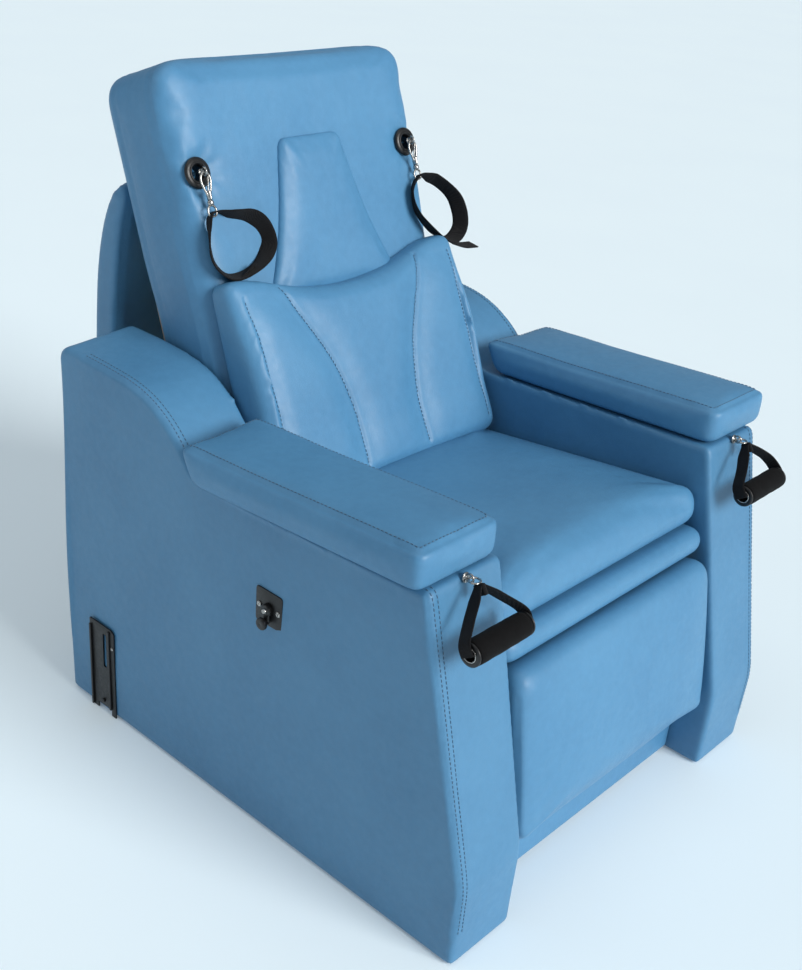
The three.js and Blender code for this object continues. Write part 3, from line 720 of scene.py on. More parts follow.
def add_arms():
    for side, tag in SIDES:
        width = ARM_OUTER_X - ARM_INNER_X
        start = ARM_INNER_X if side > 0 else -ARM_OUTER_X
        near, far = (0.007, 0.009) if side > 0 else (0.009, 0.007)
        made = pad_form(f"arm_cover_{tag}", arm_outline(), width, near, far, sideways(start))
        set_coords(made, arm_shape(coords(made), side))
        remesh(made, 0.0045, 3)
        fit_to(made, Matrix(), (None, -0.5225, 0.0010), (None, None, None))
        points = coords(made)
        full = step(np.abs(points[:, 0]), 0.37, 0.40) * np.clip(points[:, 2] / 0.3, 0, 1)
        along = np.clip(1 - ((points[:, 1] + 0.05) / 0.42) ** 2, 0, 1)
        upward = np.clip(1 - (points[:, 2] / 0.58) ** 6, 0, 1)
        points[:, 0] += side * 0.0035 * full * (along * upward)
        set_coords(made, points)
        run = seam_rim(arm_outline(), lambda p: p[1] > 0.02 and p[0] < 0.385)
        seam = on_arm(made, side, run, 0.0012, 0.0012)
        groove(made, seam, 0.0028, 0.0016, 0.0004)
        for offset, label in ((0.0085, "outer"), (0.0165, "inner")):
            line = on_arm(made, side, run, offset, 0.0)
            groove(made, line, 0.0022, 0.0006, 0.0003)
            stitches(f"arm_{label}_stitches_{tag}", made, line, "base")
        # The arm cover gets the darker leather copy: painted shade on its side faces.
        dress(made, "side_leather", "base", replaces=[f"arm_box_{tag}"])


# ------------------------------------------------------------------ arm pads
PAD_LENGTH = 0.444
PAD_FRONT_Y = -0.410


def pad_place(points):
    back = (points[:, 1] - PAD_FRONT_Y) / PAD_LENGTH
    up = points[:, 2] / 0.062
    inner = 1 - (np.abs(points[:, 0]) - 0.285) / 0.174
    shaped = points.copy()
    shaped[:, 2] = 0.5975 - 0.026 * back + up * (0.062 - 0.004 * back)
    rear = step(back, 0.72, 1.0)
    shaped[:, 1] += rear * (0.036 * up + HUMP_SLANT * np.clip(inner, 0, 1))
    return shaped


def pad_outline(side, margin=0.0):
    rear = PAD_FRONT_Y + PAD_LENGTH
    corners = [(0.2850, PAD_FRONT_Y), (0.4590, PAD_FRONT_Y), (0.4590, rear), (0.2850, rear)]
    loop = round_corners(corners, [0.028, 0.022, 0.014, 0.014])
    if side < 0:
        loop = (loop * np.array([-1, 1]))[::-1]
    return inset(loop, margin)


def over_arm(points):
    """Height above the arm's sloping top."""
    return points[:, 2] - (0.5705 + (0.056 - points[:, 1]) * 0.0541)


def add_arm_pads():
    pads = []
    for side, tag in SIDES:
        made = pad_form(f"arm_pad_cover_{tag}", pad_outline(side, 0.001), 0.061, 0.018, 0.012, lying)
        remesh(made, 0.005, 2)
        fit_to(made, Matrix(), (min(side * 0.285, side * 0.459), PAD_FRONT_Y, 0.0),
               (max(side * 0.285, side * 0.459), PAD_FRONT_Y + PAD_LENGTH, 0.061))
        set_coords(made, pad_place(coords(made)))
        puff(made, 1.2, 0.004, lambda p: 1 - step(over_arm(p), 0.014, 0.030))
        pads.append((made, side, tag))
    return pads


def finish_arm_pads(pads):
    for made, side, tag in pads:
        relax_surface(made, 5)
        points = coords(made)
        across = np.clip(1 - ((np.abs(points[:, 0]) - 0.372) / 0.080) ** 2, 0, 1)
        along = np.clip(1 - ((points[:, 1] + 0.18) / 0.235) ** 4, 0, 1)
        points[:, 2] += 0.008 * across * along * step(over_arm(points), 0.03, 0.05)
        points[:, 2] += np.maximum(0.0016 - over_arm(points), 0)
        set_coords(made, points)
        rim = inset(pad_outline(side), 0.008)
        rim = np.vstack([rim, rim[:1]])
        line = pad_place(np.stack([rim[:, 0], rim[:, 1], np.full(len(rim), 0.062)], 1))
        line, _ = lay_on(made, resample(line, 0.008), 0)
        groove(made, line, 0.0025, 0.0016, 0.0006)
        inner = inset(pad_outline(side), 0.016)
        inner = np.vstack([inner, inner[:1]])
        line = pad_place(np.stack([inner[:, 0], inner[:, 1], np.full(len(inner), 0.064)], 1))
        stitches(f"arm_pad_stitches_{tag}", made, line, "base")
        dress(made, "blue_leather", "base", replaces=[f"arm_pad_{tag}"])


# ------------------------------------------------------------------ seat, roll, legrest, apron
SEAT_HALF = 0.2775


def add_seat():
    corners = [(-SEAT_HALF, 0.0), (SEAT_HALF, 0.0), (SEAT_HALF, 0.486), (-SEAT_HALF, 0.486)]
    outline = round_corners(corners, [0.032, 0.032, 0.02, 0.02])
    seat = pad_form("seat_cover", outline, 0.072, 0.028, 0.030, lying)
    remesh(seat, 0.0055, 3)
    fit_to(seat, Matrix(), (-SEAT_HALF, 0.001, 0.001), (SEAT_HALF, 0.488, 0.071))
    move_mesh(seat, SEAT)
    puff(seat, 2.6, 0.012, hold_seat)
    corners = [(-SEAT_HALF, -0.016), (SEAT_HALF, -0.016), (SEAT_HALF, 0.200), (-SEAT_HALF, 0.200)]
    outline = round_corners(corners, [0.036, 0.036, 0.01, 0.01])
    roll = pad_form("front_roll_cover", outline, 0.052, 0.025, 0.024, lying)
    remesh(roll, 0.005, 3)
    fit_to(roll, Matrix(), (-SEAT_HALF, -0.017, -0.047), (SEAT_HALF, 0.200, -0.0010))
    move_mesh(roll, SEAT)
    return seat, roll


def hold_seat(points):
    """The seat is held underneath and along its sides, where the arms and the platform meet it."""
    local = into_frame(SEAT, points)
    under = 1 - step(local[:, 2], 0.012, 0.045)
    sides = step(np.abs(local[:, 0]), 0.262, 0.272)
    return np.maximum(under, sides)


def finish_seat(seat, roll):
    relax_surface(seat, 8)
    local = into_frame(SEAT, coords(seat))
    local[:, 0] *= 0.2790 / np.abs(local[:, 0]).max()
    top = step(local[:, 2], 0.035, 0.065)
    across = np.clip(1 - (local[:, 0] / SEAT_HALF) ** 4, 0, 1)
    along = np.clip(1 - ((local[:, 1] - 0.2) / 0.3) ** 2, 0, 1)
    local[:, 2] += 0.008 * top * across * along
    local[:, 2] += 0.0012 * top * np.sin(local[:, 0] * 21 + 1.0) * np.sin(local[:, 1] * 17) * across
    set_coords(seat, to_world(SEAT, local))
    dress(seat, "blue_leather", "base", replaces=["seat_cushion"])
    fit_to(roll, SEAT, (-0.2788, None, None), (0.2788, None, None))
    dress(roll, "blue_leather", "base", replaces=["front_roll"])


LEGREST_HALF = 0.269


def legrest_outline():
    half = LEGREST_HALF
    corners = [(-half, -0.250), (half, -0.250), (half, 0.031), (-half, 0.031)]
    return round_corners(corners, [0.022, 0.022, 0.030, 0.030])


def add_legrest():
    made = pad_form("legrest_cover", legrest_outline(), 0.062, 0.022, 0.026, facing(0.029))
    remesh(made, 0.0055, 3)
    fit_to(made, Matrix(), (-0.2690, -0.0355, -0.2500), (0.2690, 0.0305, 0.042))
    points = coords(made)
    fullness = np.clip(1 - ((points[:, 2] + 0.12) / 0.14) ** 2, 0, 1)
    points[:, 1] -= 0.004 * fullness * (points[:, 1] < 0)
    set_coords(made, points)
    move_mesh(made, LEGREST)
    puff(made, 2.4, 0.008, hold_legrest)
    return made


def hold_legrest(points):
    local = into_frame(LEGREST, points)
    rear = step(local[:, 1], 0.0, 0.02)
    top = step(local[:, 2], 0.012, 0.026)
    sides = step(np.abs(local[:, 0]), 0.258, 0.267)
    return np.maximum(np.maximum(rear, top), sides)


def finish_legrest(made):
    relax_surface(made, 16)
    rim = inset(legrest_outline(), 0.002)
    rim = seam_rim(rim, lambda p: p[1] < 0.004)
    line = to_world(LEGREST, np.stack([rim[:, 0], np.full(len(rim), -0.024), rim[:, 1]], 1))
    line, _ = lay_on(made, resample(line, 0.008), 0)
    groove(made, line, 0.0028, 0.0014, 0.0005)
    dress(made, "blue_leather", "legrest", replaces=["legrest_cushion"])


def add_apron():
    corners = [(-0.279, 0.008), (0.279, 0.008), (0.279, 0.254), (-0.279, 0.254)]
    made = pad_form("apron_cover", round_corners(corners, 0.006), 0.017, 0.004, 0.006, facing(-0.440))
    points = coords(made)
    points[:, 1] += 0.028 * step(points[:, 2], 0.118, 0.254)
    set_coords(made, points)
    remesh(made, 0.0045, 2)
    dress(made, "blue_leather", "base", replaces=["apron"])


# ------------------------------------------------------------------ backrest
BACK_FRONT = -0.0735
LOOP_X = 0.244
LOOP_HEIGHT = 0.548
SLAB_HALF = 0.277
SLAB_TOP_HALF = 0.281


def slab_outline():
    corners = [(-SLAB_HALF, 0.034), (SLAB_HALF, 0.034), (SLAB_TOP_HALF, 0.728), (-SLAB_TOP_HALF, 0.728)]
    return round_corners(corners, [0.03, 0.03, 0.050, 0.050])


def add_slab():
    made = pad_form("backrest_cover", slab_outline(), 0.157, 0.024, 0.022, facing(0.0835))
    remesh(made, 0.006, 3)
    fit_to(made, Matrix(), (-SLAB_TOP_HALF, BACK_FRONT, 0.034), (SLAB_TOP_HALF, 0.0835, 0.7285))
    move_mesh(made, BACK)
    puff(made, 1.6, 0.006, hold_slab)
    return made


def hold_slab(points):
    local = into_frame(BACK, points)
    rear = step(local[:, 1], 0.03, 0.07)
    low = 1 - step(local[:, 2], 0.08, 0.14)
    ring = np.minimum(np.hypot(local[:, 0] - LOOP_X, local[:, 2] - LOOP_HEIGHT),
                      np.hypot(local[:, 0] + LOOP_X, local[:, 2] - LOOP_HEIGHT))
    tied = (1 - step(ring, 0.022, 0.034)) * (local[:, 1] < 0)
    return np.maximum(np.maximum(rear, low), tied)


def finish_slab(made):
    relax_surface(made, 6)
    fit_to(made, BACK, (-0.2835, None, None), (0.2835, None, 0.7285))
    local = into_frame(BACK, coords(made))
    local[:, 0] *= 1 - 0.0160 * (1 - step(local[:, 2], 0.32, 0.44))
    set_coords(made, to_world(BACK, local))
    for offset, depth in ((0.034, 0.0012), (0.126, 0.0012)):
        run = seam_rim(slab_outline(), lambda p: p[1] > 0.16)
        line = np.stack([run[:, 0], np.full(len(run), BACK_FRONT + offset), run[:, 1]], 1)
        line, _ = lay_on(made, to_world(BACK, resample(line, 0.01)), 0)
        groove(made, line, 0.003, depth, 0.0005)
    for side, _ in SIDES:
        tool = tube_between("bore", (0, -0.01, 0), (0, 0.045, 0), 0.0147, 28)
        move_mesh(tool, BACK @ Matrix.Translation((side * LOOP_X, BACK_FRONT, LOOP_HEIGHT)))
        cut_out(made, tool)
    local = into_frame(BACK, coords(made))
    for side, _ in SIDES:
        dx, dz = local[:, 0] - side * LOOP_X, local[:, 2] - LOOP_HEIGHT
        reach = np.hypot(dx, dz)
        angle = np.arctan2(dz, dx)
        front = local[:, 1] < BACK_FRONT + 0.03
        dip = 0.0045 * np.exp(-((reach - 0.02) / 0.016) ** 2)
        pucker = 0.0012 * np.sin(9 * angle + 1.3 * side) * np.exp(-((reach - 0.036) / 0.014) ** 2)
        local[:, 1] += np.where(front, dip + pucker, 0)
    set_coords(made, to_world(BACK, local))
    dress(made, "blue_leather", "backrest", replaces=["backrest_slab"])


def headrest_outline():
    left = smooth_line([(-0.158, 0.318, 0), (-0.141, 0.358, 0), (-0.112, 0.425, 0), (-0.092, 0.490, 0),
                        (-0.079, 0.545, 0), (-0.072, 0.574, 0)], 0.008)[:, :2]
    right = (left * np.array([-1, 1]))[::-1]
    cap = [(-0.063, 0.584), (0.063, 0.584)]
    foot = [(0.09, 0.318), (0.0, 0.318), (-0.09, 0.318)]
    loop = np.vstack([left, cap, right, foot])[::-1]
    return densify(loop, 0.012)


def add_headrest():
    made = pad_form("headrest_cover", headrest_outline(), 0.021, 0.004, 0.014, facing(BACK_FRONT + 0.002))
    remesh(made, 0.0045, 3)
    move_mesh(made, BACK)
    puff(made, 1.8, 0.005, lambda p: step(into_frame(BACK, p)[:, 1], -0.084, -0.077))
    return made


def finish_headrest(made):
    relax_surface(made, 5)
    subdivide(made)
    dress(made, "blue_leather", "backrest", replaces=["headrest_pad"])


LUMBAR_HALF = 0.271
LUMBAR_REAR = -0.0738
# Lies between the photo's two seams, as measured through the fitted camera.
LUMBAR_SEAM = ((0.166, 0.352), (0.150, 0.310), (0.126, 0.265), (0.100, 0.210), (0.084, 0.150),
               (0.077, 0.095), (0.079, 0.030))


def lumbar_outline():
    top = [(LUMBAR_HALF * 0.985, 0.370), (0.21, 0.368), (0.15, 0.349), (0.09, 0.334), (0.0, 0.326),
           (-0.09, 0.334), (-0.15, 0.349), (-0.21, 0.368), (-LUMBAR_HALF * 0.985, 0.370)]
    foot = [(-LUMBAR_HALF, 0.022), (LUMBAR_HALF, 0.022)]
    radii = [0.022] + [0.05] * 7 + [0.022, 0.030, 0.030]
    return round_corners(top + foot, radii)


def lumbar_depth(height):
    """Front face of the lumbar cushion, measured from its rear, at a height along the backrest."""
    low, high = 0.062, 0.040
    return low + (high - low) * step(height, 0.20, 0.37)


def add_lumbar():
    made = pad_form("lumbar_cover", lumbar_outline(), 0.062, 0.004, 0.024, facing(LUMBAR_REAR))
    points = coords(made)
    scale = lumbar_depth(points[:, 2]) / 0.062
    points[:, 1] = LUMBAR_REAR + (points[:, 1] - LUMBAR_REAR) * scale
    set_coords(made, points)
    remesh(made, 0.005, 3)
    move_mesh(made, BACK)
    puff(made, 3.4, 0.020, hold_lumbar)
    return made


def seam_gap(local):
    """Distance of each point, seen square to the backrest, from the two curved seams."""
    flat = local.copy()
    flat[:, 1] = 0
    best = np.full(len(flat), np.inf)
    for side in (-1, 1):
        line = smooth_line([(side * x, 0, z) for x, z in LUMBAR_SEAM], 0.01)
        best = np.minimum(best, line_distance(flat, line))
    return best


def hold_lumbar(points):
    """Held at the back and round the rim, less so in the middle of the face."""
    local = into_frame(BACK, points)
    rear = step(local[:, 1], LUMBAR_REAR - 0.034, LUMBAR_REAR - 0.014)
    rim = np.vstack([lumbar_outline(), lumbar_outline()[:1]])
    flat = np.stack([local[:, 0], np.zeros(len(local)), local[:, 2]], 1)
    gap = line_distance(flat, np.stack([rim[:, 0], np.zeros(len(rim)), rim[:, 1]], 1))
    edge = 1 - step(np.minimum(gap, 1.0), 0.010, 0.045)
    return np.maximum(rear, edge)


def finish_lumbar(made):
    relax_surface(made, 6)
    fit_to(made, BACK, (-0.2755, -0.1530, 0.020), (0.2755, -0.0738, 0.374))
    local = into_frame(BACK, coords(made))
    low = np.clip(1 - (local[:, 2] - 0.020) / 0.075, 0, 1) * step(-local[:, 1], 0.085, 0.115)
    local[:, 2] -= 0.017 * low
    local[:, 1] -= 0.010 * low
    swell = (1 - np.exp(-(seam_gap(local) / 0.030) ** 2)) * step(-local[:, 1], 0.095, 0.125)
    sides_in = np.clip((0.262 - np.abs(local[:, 0])) / 0.050, 0, 1)
    ends_in = np.clip((local[:, 2] - 0.010) / 0.070, 0, 1) * np.clip((0.345 - local[:, 2]) / 0.060, 0, 1)
    local[:, 1] -= 0.0075 * swell * np.sin(sides_in * math.pi / 2) * np.sin(ends_in * math.pi / 2)
    set_coords(made, to_world(BACK, local))
    subdivide(made)
    for side, tag in SIDES:
        seam = [(side * x, LUMBAR_REAR - lumbar_depth(z) - 0.004, z) for x, z in LUMBAR_SEAM]
        line, _ = lay_on(made, to_world(BACK, smooth_line(seam, 0.006)), 0)
        groove(made, line, 0.0032, 0.0030, 0.0002)
        stitches(f"lumbar_stitches_{tag}", made, line, "backrest")
    for side, tag in SIDES:
        heights = np.linspace(0.034, 0.345, 40)
        across = side * (0.2430 + 0.004 * (heights - 0.03) / 0.32)
        depth = LUMBAR_REAR - lumbar_depth(heights) - 0.004
        line, _ = lay_on(made, to_world(BACK, np.stack([across, depth, heights], 1)), 0)
        groove(made, line, 0.0028, 0.0016, 0.0001)
        stitches(f"lumbar_edge_stitches_{tag}", made, line, "backrest")
    dress(made, "blue_leather", "backrest", replaces=["lumbar_cushion"])


SHELL = ((0.366, 0.060), (0.366, 0.200), (0.361, 0.320), (0.346, 0.400), (0.324, 0.456), (0.297, 0.487),
         (0.281, 0.482), (0.277, 0.462), (0.287, 0.430), (0.300, 0.354), (0.308, 0.224), (0.308, 0.060))


def shell_outline():
    radii = [0.014, 0.05, 0.05, 0.04, 0.03, 0.012, 0.01, 0.02, 0.04, 0.05, 0.05, 0.014]
    return round_corners(SHELL, radii)


def add_shell():
    made = pad_form("rear_shell_cover", shell_outline(), 0.550, 0.014, 0.014, sideways(-0.275))
    remesh(made, 0.006, 2)
    move_mesh(made, UPRIGHT_BACK)
    for side, _ in SIDES:
        ring = inset(shell_outline(), 0.002)
        front = ring[(ring[:, 0] < 0.312) & (ring[:, 1] > 0.075)]
        front = front[np.argsort(front[:, 1])]
        line = np.stack([np.full(len(front), side * 0.262), front[:, 0], front[:, 1]], 1)
        line, _ = lay_on(made, resample(to_world(UPRIGHT_BACK, line), 0.01), 0)
        groove(made, line, 0.004, 0.002, 0.0006)
    # The rear shell gets the darker leather copy: painted shade.
    dress(made, "side_leather", "backrest", replaces=["rear_shell"])


# ------------------------------------------------------------------ swept and turned shapes
def sweep(name, line, section, lead, closed=False, widths=None, twists=None):
    """A section (u near lead, v square to lead and line) carried along a line."""
    line, lead = np.asarray(line, float), np.asarray(lead, float)
    ahead = np.roll(line, -1, 0) - np.roll(line, 1, 0) if closed else np.gradient(line, axis=0)
    ahead /= np.linalg.norm(ahead, axis=1)[:, None]
    side = lead - (ahead @ lead)[:, None] * ahead
    side /= np.linalg.norm(side, axis=1)[:, None]
    third = np.cross(ahead, side)
    if twists is not None:
        c, t = np.cos(twists)[:, None], np.sin(twists)[:, None]
        side, third = c * side + t * third, c * third - t * side
    if widths is None:
        widths = np.ones(len(line))
    n = len(section)
    vertices = []
    for i, point in enumerate(line):
        for u, v in section:
            vertices.append(point + side[i] * u * widths[i] + third[i] * v)
    faces = []
    for i in range(len(line) if closed else len(line) - 1):
        k = (i + 1) % len(line)
        for j in range(n):
            m = (j + 1) % n
            faces.append((i * n + j, i * n + m, k * n + m, k * n + j))
    if not closed:
        faces.append(tuple(range(n - 1, -1, -1)))
        faces.append(tuple((len(line) - 1) * n + j for j in range(n)))
    return mesh_object(name, vertices, faces)


def disc_section(radius, sides=12):
    return [(radius * math.cos(2 * math.pi * k / sides), radius * math.sin(2 * math.pi * k / sides))
            for k in range(sides)]


def band_section(width, thick):
    """Flat webbing with folded-in edges and a faint rib down each face."""
    half, deep = width / 2, thick / 2
    upper = [(-half, 0), (-half + deep, deep), (-0.5 * half, 0.85 * deep), (0, deep),
             (0.5 * half, 0.85 * deep), (half - deep, deep), (half, 0)]
    return upper + [(u, -v) for u, v in upper[-2:0:-1]]


def ring_line(radius, count=40):
    turns = 2 * np.pi * np.arange(count) / count
    return np.stack([radius * np.cos(turns), np.zeros(count), radius * np.sin(turns)], 1)


def closed_line(points, spacing=0.004):
    """A closed Catmull-Rom curve through points."""
    points = np.asarray(points, float)
    n = len(points)
    out = []
    for i in range(n):
        out += spline_run(points[i - 1], points[i], points[(i + 1) % n], points[(i + 2) % n])
    out.append(out[0])
    return resample(np.array(out), spacing)[:-1]


def turned(name, profile, place, axis="Z", sides=40):
    """A shape of revolution; profile holds (radius, height) and closes on itself."""
    turn = {"X": Matrix.Rotation(math.pi / 2, 4, "Y"), "Y": Matrix.Rotation(-math.pi / 2, 4, "X"),
            "Z": Matrix()}[axis]
    vertices, faces = [], []
    n = len(profile)
    for k in range(sides):
        angle = 2 * math.pi * k / sides
        for radius, height in profile:
            vertices.append((radius * math.cos(angle), radius * math.sin(angle), height))
    for k in range(sides):
        m = (k + 1) % sides
        for j in range(n):
            i = (j + 1) % n
            faces.append((k * n + j, m * n + j, m * n + i, k * n + i))
    made = mesh_object(name, vertices, faces)
    set_coords(made, to_world(place @ turn, coords(made)))
    return made


def tube_between(name, start, end, radius, sides=24):
    start, end = Vector(start), Vector(end)
    turn = (end - start).to_track_quat("Z", "Y").to_matrix()
    rings = []
    for place in (start, end):
        for k in range(sides):
            angle = 2 * math.pi * k / sides
            rings.append(place + turn @ Vector((radius * math.cos(angle), radius * math.sin(angle), 0)))
    faces = [tuple(range(sides - 1, -1, -1)), tuple(range(sides, 2 * sides))]
    for k in range(sides):
        j = (k + 1) % sides
        faces.append((k, j, sides + j, sides + k))
    return mesh_object(name, rings, faces, smooth=False)


def soften(made, width=0.0006, angle=35, segments=2):
    """Rounds the crisp edges of a hard piece."""
    bevel = made.modifiers.new("bevel", "BEVEL")
    bevel.width = width
    bevel.segments = segments
    bevel.limit_method = "ANGLE"
    bevel.angle_limit = math.radians(angle)
    bake_modifiers(made)
    made.data.polygons.foreach_set("use_smooth", [True] * len(made.data.polygons))
    made.data.set_sharp_from_angle(angle=math.radians(angle))


def joined(name, pieces):
    """Several meshes as one object."""
    vertices, faces = [], []
    for made in pieces:
        base = len(vertices)
        vertices.extend(coords(made))
        faces.extend(tuple(base + k for k in polygon.vertices) for polygon in made.data.polygons)
        mesh = made.data
        bpy.data.objects.remove(made)
        bpy.data.meshes.remove(mesh)
    return mesh_object(name, vertices, faces)


def plate(name, outline, low, high, place, edge=0.0008):
    """A flat plate with this outline in y and z, between two x values of its own frame."""
    n = len(outline)
    vertices = [(low, u, v) for u, v in outline] + [(high, u, v) for u, v in outline]
    faces = [tuple(range(n - 1, -1, -1)), tuple(range(n, 2 * n))]
    faces += [(k, (k + 1) % n, n + (k + 1) % n, n + k) for k in range(n)]
    made = mesh_object(name, vertices, faces)
    set_coords(made, to_world(place, coords(made)))
    soften(made, edge)
    return made


# ------------------------------------------------------------------ pull loops, hooks, grommets
EYE_OUT = 0.017
HOOK_DROP = 0.072
# Points read off the photo through the fitted camera, rounded to 1 mm and then partly moved.
LOOP_LEFT = ((-0.002, 0.003), (-0.012, -0.012), (-0.016, -0.048), (-0.011, -0.078), (0.012, -0.100),
             (0.050, -0.096), (0.086, -0.079), (0.105, -0.055), (0.098, -0.028), (0.074, -0.010),
             (0.040, -0.003), (0.014, 0.004))
LOOP_RIGHT = ((0.002, 0.003), (-0.017, -0.018), (-0.018, -0.062), (0.014, -0.103), (0.060, -0.121),
              (0.094, -0.108), (0.102, -0.082), (0.086, -0.046), (0.054, -0.014), (0.020, 0.003))
TAIL_LEFT = ((0.060, -0.092), (0.034, -0.104), (0.016, -0.116))
TAIL_RIGHT = ((0.056, -0.124), (0.090, -0.136), (0.124, -0.140))


def wire_ring(name, line, radius, lead, sides=10):
    """A closed wire along a line."""
    return sweep(name, line, disc_section(radius, sides), lead, closed=True)


def add_grommet(side, tag):
    profile = ((0.0125, -0.022), (0.0146, -0.022), (0.0148, -0.001), (0.0245, -0.001), (0.0252, 0.0004),
               (0.0247, 0.0022), (0.0225, 0.0040), (0.0190, 0.0050), (0.0158, 0.0048), (0.0135, 0.0036),
               (0.0125, 0.0016))
    place = BACK @ Matrix.Translation((side * LOOP_X, BACK_FRONT, LOOP_HEIGHT))
    place = place @ Matrix.Rotation(math.pi, 4, "X")
    rim = turned(f"grommet_rim_{tag}", profile, place, "Y")
    profile = ((0.0152, 0.0046), (0.0178, 0.0052), (0.0180, 0.0058), (0.0152, 0.0060), (0.0146, 0.0052))
    washer = turned(f"grommet_washer_{tag}", profile, place, "Y")
    whole = joined(f"grommet_ring_{tag}", [rim, washer])
    dress(whole, "black_plastic", "backrest", replaces=[f"grommet_{tag}"])


def add_hook(side, tag):
    eye = BACK @ Matrix.Translation((side * LOOP_X, BACK_FRONT - EYE_OUT, LOOP_HEIGHT))
    bow = [(0.0, -0.0012), (-0.0072, -0.005), (-0.0098, -0.013), (-0.0078, -0.022), (-0.0035, -0.034),
           (0.0, -0.040), (0.0040, -0.033), (0.0072, -0.023), (0.0093, -0.013), (0.0068, -0.005)]
    bow = closed_line([(x, 0, z) for x, z in bow], 0.0018)
    wire = wire_ring(f"hook_bow_{tag}", bow, 0.0019, (0, 1, 0))
    gate_line = resample(np.array([(0.0052, -0.0006, -0.0050), (-0.0012, -0.0006, -0.0340)]), 0.003)
    gate = sweep(f"hook_gate_{tag}", gate_line, band_section(0.0032, 0.0016), (0, 1, 0))
    body_line = resample(np.array([(0, 0, -0.022), (0, 0, -0.044)]), 0.002)
    taper = np.interp(np.linspace(0, 1, len(body_line)), [0, 0.5, 1], [1.0, 0.75, 0.55])
    jaw = sweep(f"hook_jaw_{tag}", body_line[4:], disc_section(0.0052, 14), (1, 0, 0), widths=taper[4:])
    profile = ((0.0004, -0.0525), (0.0040, -0.0525), (0.0052, -0.0510), (0.0052, -0.0465),
               (0.0040, -0.0450), (0.0030, -0.0440), (0.0004, -0.0440))
    barrel = turned(f"hook_barrel_{tag}", profile, Matrix(), "Z", 24)
    foot_line = ((0.0, -0.0525), (0.0062, -0.0555), (0.0082, -0.062), (0.0060, -0.0685),
                 (0.0, -0.0700), (-0.0060, -0.0685), (-0.0082, -0.062), (-0.0062, -0.0555))
    foot_line = closed_line([(x, 0, z) for x, z in foot_line], 0.0016)
    foot = wire_ring(f"hook_foot_{tag}", foot_line, 0.0018, (0, 1, 0))
    whole = joined(f"swivel_hook_{tag}", [wire, gate, jaw, barrel, foot])
    move_mesh(whole, eye)
    dress(whole, "bright_steel", f"hook_{tag}", replaces=[f"snap_hook_{tag}"])
    ring_path = closed_line(to_world(Matrix.Rotation(math.pi / 2, 4, "Z"), ring_line(0.006)), 0.0015)
    ring = wire_ring(f"eye_ring_{tag}", ring_path, 0.0018, (1, 0, 0))
    profile = ((0.0004, 0.0055), (0.0026, 0.0055), (0.0030, 0.0065), (0.0030, 0.038), (0.0004, 0.038))
    stem = turned(f"eye_stem_{tag}", profile, Matrix(), "Y", 20)
    profile = ((0.003, 0.006), (0.0048, 0.006), (0.0052, 0.007), (0.0052, 0.009), (0.003, 0.010))
    collar = turned(f"eye_collar_{tag}", profile, Matrix(), "Y", 20)
    whole = joined(f"anchor_eye_{tag}", [ring, stem, collar])
    move_mesh(whole, eye)
    dress(whole, "bright_steel", "backrest", replaces=[f"hook_anchor_eye_{tag}"])


def add_loop(side, tag, outline, tail):
    """A strap sewn into a loop; its width stands square to the backrest, the tail lies below the overlap."""
    top = BACK @ Matrix.Translation((side * LOOP_X, BACK_FRONT - EYE_OUT, LOOP_HEIGHT - HOOK_DROP + 0.004))
    line = closed_line([(x, 0.0, z) for x, z in outline], 0.0035)
    sway = 0.006 * np.sin(np.linspace(0, 2 * np.pi, len(line), endpoint=False) * 2 + side)
    line[:, 1] += sway * np.clip(-line[:, 2] / 0.05, 0, 1)
    near_ring = np.clip(np.linalg.norm(line - np.array([0.004, 0, 0.004]), axis=1) / 0.034, 0, 1)
    widths = 0.36 + 0.64 * near_ring ** 1.2
    wave = np.sin(np.linspace(0, 4 * np.pi, len(line), endpoint=False) + 0.8 * side)
    twists = (0.50 + 0.25 * wave) * near_ring
    strap = sweep(f"strap_{tag}", line, band_section(0.030, 0.0026), (0, 1, 0), closed=True, widths=widths,
                  twists=twists)
    end = smooth_line([(x, 0.001, z) for x, z in tail], 0.003)
    flap = sweep(f"strap_tail_{tag}", end, band_section(0.027, 0.0026), (0, 1, 0),
                 twists=np.full(len(end), 0.5))
    whole = joined(f"loop_strap_{tag}", [strap, flap])
    move_mesh(whole, top)
    dress(whole, "webbing", f"loop_{tag}", replaces=[f"pull_loop_{tag}"])


# ------------------------------------------------------------------ hand grips
HANDLE_LEAN = math.radians(33.7)
ARM_FRONT_LEAN = math.radians(14.1)
GRIP_HALF = 0.056
STRAP_OUT = -0.012
GRIP_AXIS = -0.0875


